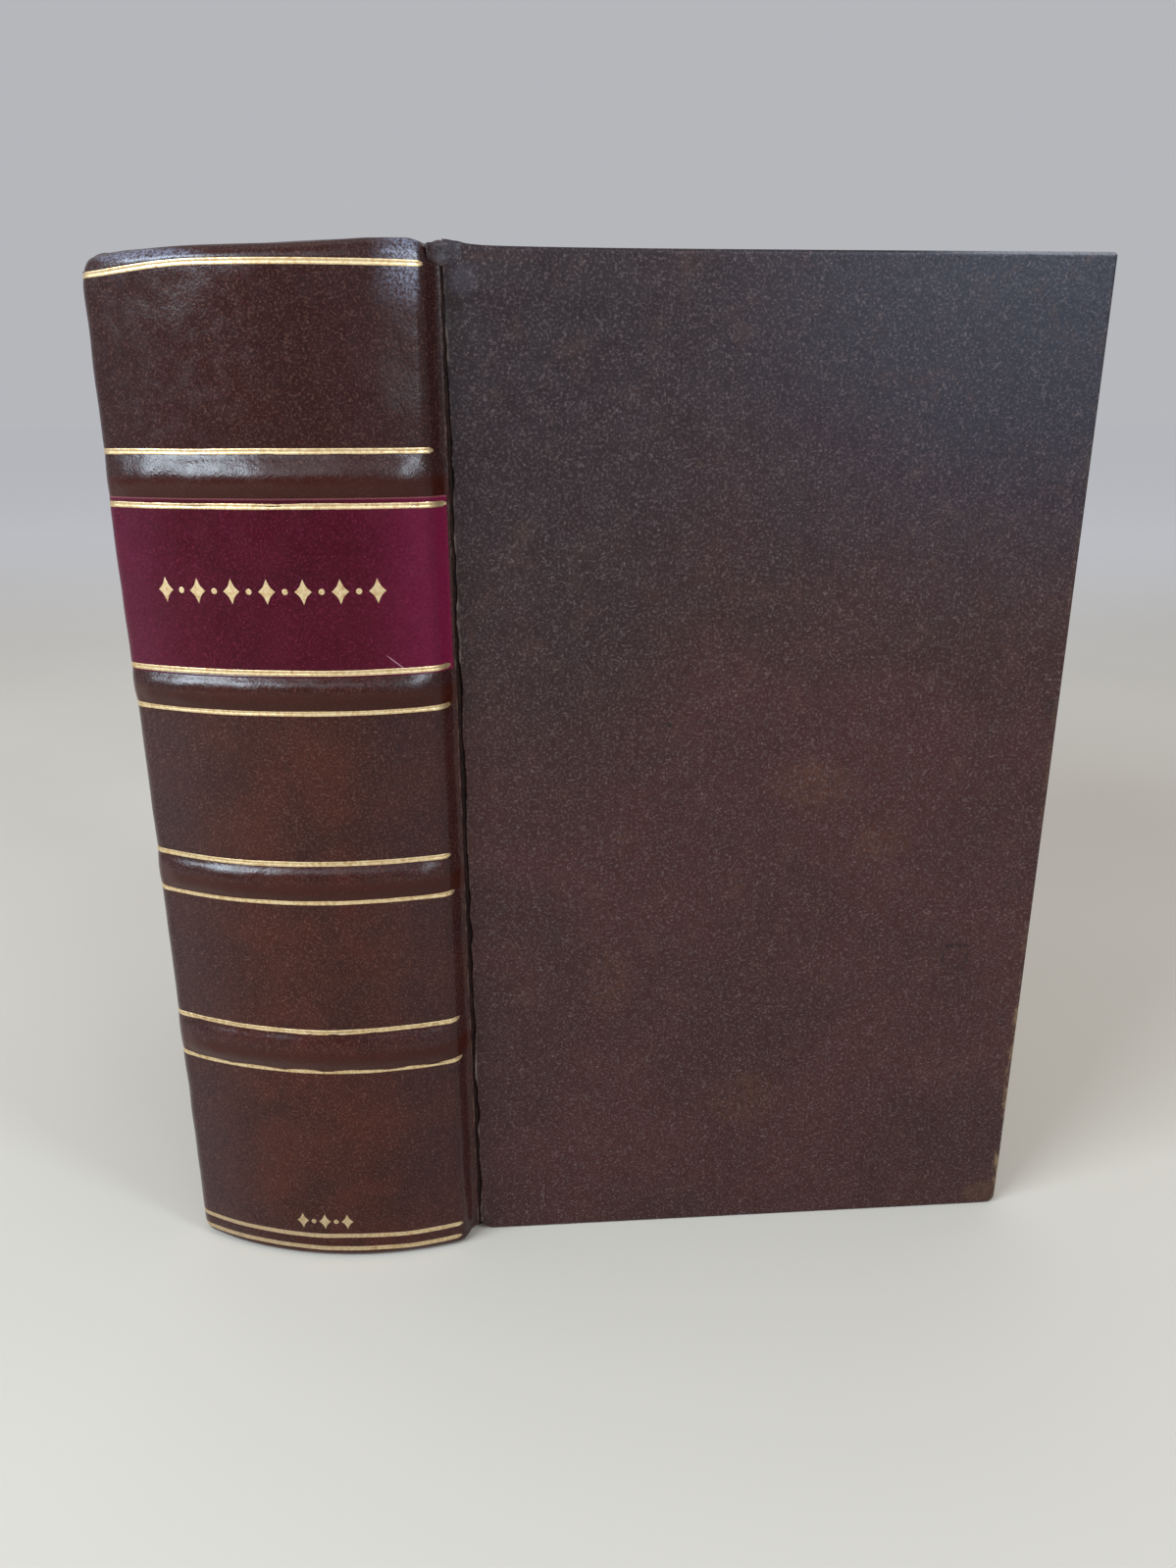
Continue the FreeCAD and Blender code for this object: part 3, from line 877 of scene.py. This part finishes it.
class Nodes:
    """Short calls for building one material's nodes."""

    def __init__(self, name):
        self.material = bpy.data.materials.new(name)
        self.material.use_nodes = True
        self.tree = self.material.node_tree
        self.shader = self.tree.nodes["Principled BSDF"]

    def add(self, kind, inputs, **settings):
        """A node with its settings, and a value or a socket for each named or numbered input."""
        node = self.tree.nodes.new(kind)
        for key, value in settings.items():
            setattr(node, key, value)
        for key, value in inputs.items():
            self.feed(node.inputs[key], value)
        return node

    def feed(self, socket, value):
        if isinstance(value, bpy.types.NodeSocket):
            self.tree.links.new(value, socket)
        else:
            socket.default_value = value

    def coords(self, kind="Object"):
        return self.add("ShaderNodeTexCoord", {}).outputs[kind]

    def stretch(self, vector, scale):
        return self.add("ShaderNodeMapping", {"Vector": vector, "Scale": scale}).outputs["Vector"]

    def noise(self, vector, size, detail=3.0, roughness=0.55, distortion=0.0):
        """Noise whose features measure size, in mm."""
        inputs = {"Vector": vector, "Scale": 1 / (size * MM), "Detail": detail, "Roughness": roughness}
        return self.add("ShaderNodeTexNoise", {**inputs, "Distortion": distortion}).outputs["Fac"]

    def math(self, operation, a, b=0.0):
        return self.add("ShaderNodeMath", {0: a, 1: b}, operation=operation).outputs[0]

    def times(self, a, b):
        return self.math("MULTIPLY", a, b)

    def plus(self, a, b):
        return self.math("ADD", a, b)

    def apart(self, a, b):
        """How far a lies from b, either way."""
        return self.math("ABSOLUTE", self.math("SUBTRACT", a, b))

    def oval(self, a, b, centre, size):
        """Squared distance of a and b from a centre, 1 on an oval of half-widths size, both in mm."""
        da = self.math("DIVIDE", self.math("SUBTRACT", a, centre[0] * MM), size[0] * MM)
        db = self.math("DIVIDE", self.math("SUBTRACT", b, centre[1] * MM), size[1] * MM)
        return self.plus(self.times(da, da), self.times(db, db))

    def spot(self, a, b, centre, size):
        """1 inside an oval and 0 well outside it."""
        return self.between(self.oval(a, b, centre, size), 0.25, 1.6, 1.0, 0.0)

    def between(self, value, low, high, to_low=0.0, to_high=1.0):
        """value mapped smoothly from low..high to to_low..to_high."""
        inputs = {"Value": value, "From Min": low, "From Max": high, "To Min": to_low, "To Max": to_high}
        return self.add("ShaderNodeMapRange", inputs, interpolation_type="SMOOTHSTEP").outputs["Result"]

    def split(self, vector):
        return self.add("ShaderNodeSeparateXYZ", {0: vector}).outputs[:3]

    def mix(self, factor, a, b):
        return self.add("ShaderNodeMix", {0: factor, 6: a, 7: b}, data_type="RGBA").outputs[2]

    def paint(self, mask, colour):
        """Lays a colour over what is there, as far as the mask says."""
        self.colour = self.mix(mask, self.colour, colour)

    def bump(self, height_socket, distance, normal=None):
        """A normal that follows a height, distance in mm for a height of 1."""
        inputs = {"Strength": 1.0, "Distance": distance * MM, "Height": height_socket}
        if normal is not None:
            inputs["Normal"] = normal
        return self.add("ShaderNodeBump", inputs).outputs["Normal"]

    def finish(self, roughness, normal, **fixed):
        self.feed(self.shader.inputs["Base Color"], self.colour)
        self.feed(self.shader.inputs["Roughness"], roughness)
        if normal is not None:
            self.feed(self.shader.inputs["Normal"], normal)
        for key, value in fixed.items():
            self.shader.inputs[key.replace("_", " ")].default_value = value
        return self.material


def tone(red, green, painted_blue_sheen):
    """A colour given as it looks on screen, from 0 to 255, as a shader colour."""
    linear = []
    for value in (red, green, painted_blue_sheen):
        share = value / 255
        linear.append(share / 12.92 if share <= 0.04045 else ((share + 0.055) / 1.055) ** 2.4)
    return (*linear, 1.0)


def calf_normal(n, vector, pore, lump, depth):
    """The fine grain of polished calf."""
    fine = n.noise(vector, pore, 3.0, 0.6)
    broad = n.noise(vector, lump, 3.0, 0.5)
    grain = n.bump(fine, depth)
    return n.bump(broad, depth * 2.0, grain)


def speckled(n, vector, light, dark, size, share):
    """Short pale fibres and small dark pores over a colour."""
    fibres = n.noise(vector, size, 3.0, 0.7)
    pores = n.noise(n.stretch(vector, (1.3, 1.3, 0.8)), size * 1.3, 3.0, 0.6)
    n.paint(n.between(fibres, 0.48, 0.74, 0.0, share), light)
    n.paint(n.between(pores, 0.3, 0.5, share, 0.0), dark)


def spine_calf_material():
    n = Nodes("spine_calf")
    place = n.coords()
    x, _, z = n.split(place)
    normal = calf_normal(n, place, 0.6, 3.0, 0.05)
    cloud = n.noise(place, 14, 5.0, 0.6, 0.4)
    n.colour = n.mix(n.between(cloud, 0.32, 0.68), tone(43, 9, 4), tone(61, 18, 8))
    n.paint(n.between(z, 0.09, 0.20, 0.0, 0.75), tone(37, 8, 6))
    # Painted sheen: the sides of the spine turn greyer and more purple, as if they reflected more light than the
    # middle
    left = n.between(x, -27 * MM, -6 * MM, 0.6, 0.0)
    right = n.between(x, 10 * MM, 27 * MM, 0.0, 0.45)
    n.paint(n.plus(left, right), tone(42, 24, 26))
    speckled(n, place, tone(118, 82, 70), tone(20, 6, 4), 0.42, 0.46)
    for middle, _ in bands:
        # Painted shade: the lower, downward-facing half of each raised band is darkened
        band_underside_shade = n.between(n.apart(z, middle - 2.1 * MM), 1.2 * MM, 3.4 * MM, 0.75, 0.0)
        n.paint(band_underside_shade, tone(54, 11, 1))
    # Painted highlight: pale bluish glints under the right end of the first rule and on the head cap, standing in
    # for reflected window light
    painted_highlight = n.times(n.between(x, 22 * MM, 30.5 * MM), n.between(z, 0.2035, 0.2115))
    painted_highlight = n.times(painted_highlight, n.between(x, 30.4 * MM, 31.4 * MM, 1.0, 0.0))
    cap_highlights = (((-17, 214), (10, 1.1)), ((27.5, 214.6), (2.6, 0.8)))
    for centre, size in cap_highlights:
        painted_highlight = n.math("MAXIMUM", painted_highlight, n.spot(x, z, centre, size))
    painted_highlight = n.times(painted_highlight, n.between(n.noise(place, 0.45, 3.0, 0.7), 0.38, 0.66, 0.05, 0.8))
    n.paint(painted_highlight, tone(136, 138, 156))
    edge = n.between(n.noise(n.stretch(place, (1, 1, 0.3)), 1.4, 3.0), 0.5, 0.66, 0.0, 0.6)
    torn = n.times(n.spot(x, z, (32.6, 193), (0.16, 5)), edge)
    tip = n.times(n.between(x, 33.6 * MM, 34.0 * MM), edge)
    n.paint(n.math("MAXIMUM", torn, n.times(tip, 0.5)), tone(150, 122, 104))
    roughness = n.between(n.noise(place, 3, 4.0), 0.3, 0.7, 0.18, 0.29)
    return n.finish(roughness, normal, Specular_IOR_Level=0.25)


def worn_edge(n, u, z):
    """Where the leather is rubbed pale along the lower fore-edge and at the tail corner."""
    rubbed = n.noise(n.stretch(n.coords(), (1, 1, 0.35)), 3.2, 4.0, 0.65)
    near = n.between(u, cover_length - 1.9 * MM, cover_length - 0.5 * MM)
    low = n.between(z, 0.055, 0.085, 1.0, 0.12)
    line = n.times(n.times(near, low), n.between(rubbed, 0.47, 0.62))
    corner = n.spot(u, z, (cover_length / MM - 4, 3.5), (4.6, 2.8))
    corner = n.times(corner, n.between(rubbed, 0.34, 0.6, 0.25, 0.75))
    return line, corner


def board_calf_material(side):
    n = Nodes(f"{side}_board_calf")
    u, z, _ = n.split(n.coords("UV"))
    place = n.coords()
    normal = calf_normal(n, place, 0.75, 3.5, 0.035)
    cloud = n.noise(place, 34, 4.0, 0.55, 0.6)
    mottle = n.noise(place, 7, 6.0, 0.7, 0.3)
    n.colour = n.mix(n.between(cloud, 0.35, 0.7), tone(49, 24, 21), tone(58, 28, 25))
    # Painted sheen: the cover turns cooler and greyer towards the head, standing in for the bluish reflection of the
    # sky
    painted_cool_sheen = n.between(z, 0.12, 0.205, 0.0, 0.75)
    n.paint(painted_cool_sheen, tone(33, 25, 29))
    # Painted sheen: bluish towards the head and the fore-edge
    painted_blue_sheen = n.times(n.between(z, 0.13, 0.215), n.between(u, 0.03, 0.12))
    n.paint(n.times(painted_blue_sheen, 0.85), tone(34, 37, 49))
    shade = n.spot(u, z, (14, 170), (34, 50))
    n.paint(n.times(shade, 0.4), tone(28, 24, 28))
    n.paint(n.between(mottle, 0.52, 0.72, 0.0, 0.24), tone(82, 54, 42))
    n.paint(n.between(mottle, 0.28, 0.44, 0.3, 0.0), tone(46, 34, 36))
    fleck = n.noise(place, 1.6, 3.0, 0.6)
    russet = (((75, 111), (9, 5), 0.2), ((91, 97), (6, 4), 0.18), ((63, 34), (9, 7), 0.18),
              ((31, 66), (6, 9), 0.15), ((10, 214.5), (7, 1.0), 0.12))
    for centre, size, share in russet:
        patch = n.times(n.spot(u, z, centre, size), n.between(fleck, 0.42, 0.66, 0.2, 1.0))
        n.paint(n.times(patch, share), tone(104, 66, 40))
    # Painted shade: a dark patch in the hollow beside the joint below the head
    painted_hollow_shade = n.spot(u, z, (1.6, 204), (2.2, 6))
    n.paint(n.times(painted_hollow_shade, 0.75), tone(30, 15, 14))
    # Painted highlight: a pale bluish streak along the crease above that hollow
    fold = n.spot(u, z, (3.6, 210.5), (2.6, 2.8))
    n.paint(n.times(fold, 0.3), tone(72, 70, 80))
    # Painted highlight: a pale line along the head edge towards the fore-edge corner
    painted_edge_highlight = n.times(n.between(z, height - 0.8 * MM, height - 0.3 * MM), n.between(u, 0.085, 0.11))
    n.paint(n.times(painted_edge_highlight, 0.6), tone(150, 146, 150))
    speckled(n, place, tone(126, 107, 106), tone(20, 12, 13), 0.5, 0.44)
    if side == "front":
        front_marks(n, u, z)
    line, corner = worn_edge(n, u, z)
    n.paint(n.times(corner, 0.5), tone(94, 70, 44))
    n.paint(n.times(line, 0.75), tone(134, 108, 78))
    lip = n.noise(n.stretch(place, (1, 1, 0.3)), 2.2, 4.0, 0.6)
    lip = n.times(n.between(u, 0.15 * MM, 0.75 * MM, 1.0, 0.0), n.between(lip, 0.46, 0.62))
    n.paint(n.times(lip, 0.6), tone(140, 122, 112))
    roughness = n.between(n.noise(place, 6, 4.0), 0.3, 0.7, 0.34, 0.46)
    return n.finish(roughness, normal, Specular_IOR_Level=0.22)


def front_marks(n, u, z):
    """Small scuffs, a scratch and a faint ring on the front cover."""
    dark = tone(26, 18, 20)
    grain = n.between(n.noise(n.coords(), 1.1, 3.0, 0.6), 0.38, 0.6)
    scuffs = (((20.3, 184.3), (1.5, 0.55), 0.9), ((17.5, 191.5), (2.3, 0.3), 0.7), ((43.2, 125.2), (1.3, 0.5), 0.85),
              ((50.5, 125.8), (2.6, 0.3), 0.6), ((110.9, 71.5), (3.0, 0.5), 1.0), ((125.6, 128), (1.2, 3), 0.5))
    for centre, size, share in scuffs:
        mask = n.times(n.spot(u, z, centre, size), n.times(grain, share))
        n.paint(mask, dark)
    away = n.oval(u, z, (110.3, 68.9), (2.9, 3.1))
    ring = n.between(n.apart(away, 1.0), 0.1, 0.45, 0.6, 0.0)
    n.paint(n.times(ring, grain), dark)


def label_material():
    n = Nodes("label_leather")
    place = n.coords()
    x, _, z = n.split(place)
    normal = calf_normal(n, place, 0.6, 2.0, 0.016)
    cloud = n.noise(place, 12, 4.0, 0.6, 0.3)
    n.colour = n.mix(n.between(cloud, 0.3, 0.7), tone(56, 3, 16), tone(67, 6, 23))
    # Painted sheen: the label is lighter towards its right end and its left side, and a strip beside the joint is
    # lightened against the shade of the hollow there
    n.paint(n.between(x, 16 * MM, 33 * MM, 0.0, 0.7), tone(104, 20, 52))
    n.paint(n.between(x, 31.2 * MM, 32.4 * MM, 0.0, 0.7), tone(112, 22, 54))
    n.paint(n.between(x, -30 * MM, -14 * MM, 0.6, 0.0), tone(84, 26, 46))
    speckled(n, place, tone(136, 46, 80), tone(36, 3, 12), 0.42, 0.36)
    lean = n.plus(z, n.times(x, 0.9))
    scratch = n.between(n.apart(lean, 0.1622), 0.05 * MM, 0.22 * MM, 0.8, 0.0)
    scratch = n.times(scratch, n.spot(x, z, (24, 140.5), (2.6, 2.4)))
    n.paint(scratch, tone(170, 120, 132))
    rim = n.between(z, label_high.z + 0.15 * MM, label_high.z + 0.5 * MM, 0.0, 0.45)
    n.paint(rim, tone(150, 92, 96))
    roughness = n.between(n.noise(place, 4, 4.0), 0.3, 0.7, 0.24, 0.34)
    return n.finish(roughness, normal, Specular_IOR_Level=0.12)


def gilt_material():
    n = Nodes("gilt")
    place = n.coords()
    worn = n.noise(place, 0.8, 4.0, 0.65)
    n.colour = n.mix(n.between(worn, 0.3, 0.7), tone(186, 152, 106), tone(228, 204, 160))
    n.paint(n.between(worn, 0.2, 0.4, 0.8, 0.0), tone(130, 86, 46))
    x, _, z = n.split(place)
    dull = n.times(n.between(z, 0.008, 0.06, 0.55, 0.0), n.between(x, -10 * MM, 25 * MM, 1.0, 0.3))
    n.paint(dull, tone(176, 152, 124))
    roughness = n.between(worn, 0.3, 0.7, 0.5, 0.34)
    normal = n.bump(n.noise(place, 0.4, 3.0), 0.02)
    return n.finish(roughness, normal, Metallic=0.8)


def page_material():
    n = Nodes("page_edges")
    place = n.coords()
    leaves = n.noise(n.stretch(place, (1.0, 0.002, 0.002)), 0.3, 3.0, 0.75)
    groups = n.noise(n.stretch(place, (1.0, 0.002, 0.002)), 2.6, 2.0, 0.6)
    stain = n.noise(place, 22, 5.0, 0.6, 0.4)
    n.colour = n.mix(n.between(leaves, 0.3, 0.7), tone(176, 150, 108), tone(216, 196, 154))
    n.paint(n.between(groups, 0.55, 0.75, 0.0, 0.5), tone(150, 118, 78))
    n.paint(n.between(stain, 0.5, 0.8, 0.0, 0.45), tone(158, 124, 80))
    normal = n.bump(leaves, 0.05)
    return n.finish(0.85, normal, Specular_IOR_Level=0.2)


def endpaper_material(kind):
    n = Nodes(f"endpaper_{kind}")
    place = n.coords()
    _, _, z = n.split(place)
    fibre = n.noise(place, 0.5, 4.0, 0.6)
    chain = n.noise(n.stretch(place, (1.0, 1.0, 0.04)), 1.1, 2.0)
    foxing = n.noise(place, 6, 5.0, 0.7, 0.3)
    n.colour = n.mix(n.between(fibre, 0.3, 0.7), tone(205, 188, 150), tone(222, 207, 172))
    n.paint(n.between(foxing, 0.62, 0.76, 0.0, 0.5), tone(172, 132, 84))
    edge_low = n.between(z, text_low.z, text_low.z + 16 * MM, 0.5, 0.0)
    edge_high = n.between(z, text_high.z - 16 * MM, text_high.z, 0.0, 0.5)
    rim = n.math("MAXIMUM", edge_low, edge_high)
    n.paint(rim, tone(166, 132, 88))
    normal = n.bump(fibre, 0.02)
    normal = n.bump(chain, 0.02, normal)
    return n.finish(0.8, normal, Specular_IOR_Level=0.25)


def layered_material(name, light, dark, layer):
    """Pasteboard, lining and other hidden layered stuff."""
    n = Nodes(name)
    place = n.coords()
    layers = n.noise(place, layer, 4.0, 0.65)
    broad = n.noise(place, layer * 9, 3.0)
    n.colour = n.mix(n.between(layers, 0.3, 0.7), tone(*dark), tone(*light))
    n.paint(n.between(broad, 0.4, 0.7, 0.0, 0.3), tone(*[c * 0.8 for c in dark]))
    return n.finish(0.85, n.bump(layers, 0.05), Specular_IOR_Level=0.2)


def crack_material():
    """The rough flesh side of the leather behind the cracks, painted dark for the shade at their bottom."""
    n = Nodes("joint_flesh_shade")
    place = n.coords()
    flesh = n.noise(n.stretch(place, (1, 1, 0.4)), 0.9, 4.0, 0.65)
    n.colour = n.mix(n.between(flesh, 0.35, 0.65), tone(20, 10, 8), tone(44, 24, 17))
    return n.finish(0.85, n.bump(flesh, 0.1), Specular_IOR_Level=0.15)


def joint_head_material():
    n = Nodes("joint_head_calf")
    place = n.coords()
    x, _, z = n.split(place)
    normal = calf_normal(n, place, 0.7, 2.0, 0.05)
    cloud = n.noise(place, 3, 3.0, 0.6)
    n.colour = n.mix(n.between(cloud, 0.35, 0.65), tone(50, 38, 40), tone(74, 62, 66))
    n.paint(n.between(x, 34.2 * MM, 35.8 * MM, 0.0, 0.8), tone(44, 38, 43))
    n.paint(n.between(x, 32.6 * MM, 33.8 * MM, 0.9, 0.0), tone(50, 33, 33))
    # Painted shade in the small dimple of the folded leather
    dimple = n.spot(x, z, (34.3, 215), (1.1, 0.7))
    n.paint(n.times(dimple, 0.7), tone(22, 14, 18))
    speckled(n, place, tone(136, 120, 120), tone(24, 16, 18), 0.42, 0.44)
    return n.finish(0.42, normal, Specular_IOR_Level=0.22)


def headband_material():
    n = Nodes("headband_silk")
    place = n.coords()
    x, _, _ = n.split(place)
    stripe = n.math("SINE", n.times(x, 2 * math.pi / (3.3 * MM)))
    thread = n.noise(place, 0.2, 3.0)
    n.colour = n.mix(n.between(stripe, -0.15, 0.15), tone(196, 176, 132), tone(120, 62, 40))
    n.paint(n.between(thread, 0.35, 0.65, 0.3, 0.0), tone(70, 45, 30))
    return n.finish(0.6, n.bump(thread, 0.03), Specular_IOR_Level=0.35)


def floor_material():
    n = Nodes("floor")
    place = n.coords()
    cloud = n.noise(place, 500, 3.0)
    n.colour = n.mix(n.between(cloud, 0.3, 0.7), tone(200, 191, 178), tone(207, 198, 186))
    x, y, _ = n.split(place)
    away = n.math("SQRT", n.plus(n.times(x, x), n.times(y, y)))
    far = n.math("MAXIMUM", n.between(y, 0.3, 1.8), n.between(away, 0.9, 2.0))
    n.paint(far, tone(229, 228, 229))
    return n.finish(0.75, None, Specular_IOR_Level=0.15)


# Stage, light and camera

def make_stage():
    bpy.ops.mesh.primitive_plane_add(size=60, location=(0, 0, 0))
    floor = bpy.context.object
    floor.name = "floor"
    floor.data.materials.append(floor_material())
    world = bpy.data.worlds.new("studio")
    bpy.context.scene.world = world
    world.use_nodes = True
    background = world.node_tree.nodes["Background"]
    background.inputs["Color"].default_value = (0.93, 0.95, 1.0, 1.0)
    tree = world.node_tree
    split = tree.nodes.new("ShaderNodeSeparateXYZ")
    tree.links.new(tree.nodes.new("ShaderNodeTexCoord").outputs["Generated"], split.inputs[0])
    ramp = tree.nodes.new("ShaderNodeMapRange")
    ramp.interpolation_type = "SMOOTHSTEP"
    tree.links.new(split.outputs[2], ramp.inputs["Value"])
    for key, value in (("From Min", 0.3), ("From Max", 0.85), ("To Min", 0.5), ("To Max", 0.7)):
        ramp.inputs[key].default_value = value
    tree.links.new(ramp.outputs["Result"], background.inputs["Strength"])


def area_light(name, place, target, size, power, colour, gloss_only=False):
    data = bpy.data.lights.new(name, "AREA")
    data.shape = "RECTANGLE"
    data.size, data.size_y = size
    data.energy = power
    data.color = colour
    lamp = bpy.data.objects.new(name, data)
    lamp.location = place
    lamp.rotation_euler = (Vector(target) - Vector(place)).to_track_quat("-Z", "Y").to_euler()
    lamp.visible_diffuse = not gloss_only
    bpy.context.scene.collection.objects.link(lamp)


def make_lights():
    middle = (0.02, 0.0, 0.14)
    area_light("left_window", (-0.74, -0.70, 0.66), middle, (0.66, 0.26), 16.5, (0.74, 0.88, 1.0))
    area_light("right_window", (0.66, -0.80, 0.38), middle, (0.26, 0.26), 0.9, (0.76, 0.88, 1.0))
    area_light("side_window", (0.86, -0.45, 0.64), middle, (0.2, 0.2), 4.0, (0.76, 0.89, 1.0))
    area_light("front_sheen", (-0.24, -0.94, 0.72), middle, (0.95, 0.34), 3.2, (0.78, 0.88, 1.0), True)
    area_light("right_sheen", (0.60, -0.70, 0.62), middle, (0.15, 0.26), 3.4, (0.76, 0.88, 1.0), True)
    area_light("ceiling", (-0.06, -0.2, 1.25), middle, (0.6, 0.5), 0.8, (1.0, 0.92, 0.82))


def make_camera():
    """The photograph's view, from a fit to the book's outline and gilt rules."""
    data = bpy.data.cameras.new("camera")
    data.sensor_width = 36.0
    focal_pixels = 1136.6
    long_side_pixels = 1599
    data.lens = focal_pixels / long_side_pixels * data.sensor_width
    data.clip_start = 0.01
    camera = bpy.data.objects.new("camera", data)
    bpy.context.scene.collection.objects.link(camera)
    eye = Vector((76.6 * MM, chord_y - 217.9 * MM, 186.2 * MM))
    pitch = math.radians(18.14)
    roll = math.radians(-0.196)
    heading = math.atan2(0.0723, 0.9974)
    turn = Matrix.Rotation(heading, 4, "Z") @ Matrix.Rotation(math.pi / 2 - pitch, 4, "X")
    turn = turn @ Matrix.Rotation(roll, 4, "Z")
    camera.matrix_world = Matrix.Translation(eye) @ turn
    bpy.context.scene.camera = camera


def dress_cad_nodes():
    """Materials for the frame's nodes that stay as they are."""
    lining = layered_material("lining", (178, 158, 122), (140, 118, 84), 0.6)
    strip = layered_material("band_strip", (150, 104, 66), (118, 78, 46), 0.4)
    chosen = {"spine_lining": lining}
    chosen.update({f"raised_band_{number}": strip for number in range(1, 5)})
    for node, material in chosen.items():
        frame["nodes"][node].data.materials.clear()
        frame["nodes"][node].data.materials.append(material)


def main():
    spine_leather(spine_calf_material())
    title_label(label_material())
    gilt = gilt_material()
    for number in range(1, len(rules) + 1):
        gilt_rule(number, gilt)
    ornament("label_lozenges", "label_ornament", 7, (3.4 * MM, 5.0 * MM), 7.0 * MM, label_lift, gilt)
    ornament("tail_lozenges", "tail_ornament", 3, (2.8 * MM, 4.2 * MM), 5.2 * MM, 0.0, gilt)
    cover_leather("front", (sharp_corner, worn_corner), board_calf_material("front"))
    cover_leather("back", (sharp_corner, sharp_corner), board_calf_material("back"))
    text_block(page_material())
    for side in ("front", "back"):
        flyleaf(side, endpaper_material(f"{side}_free"))
        pastedown(side, endpaper_material(f"{side}_pasted"))
    millboard = layered_material("pasteboard", (150, 128, 96), (112, 92, 66), 0.5)
    board("front", millboard)
    board("back", millboard)
    joint_strips(crack_material(), endpaper_material("joint"))
    joint_head(joint_head_material())
    silk = headband_material()
    headband("head", silk)
    headband("tail", silk)
    dress_cad_nodes()
    make_stage()
    make_lights()
    make_camera()
    bpy.context.scene.view_settings.view_transform = "Standard"


main()
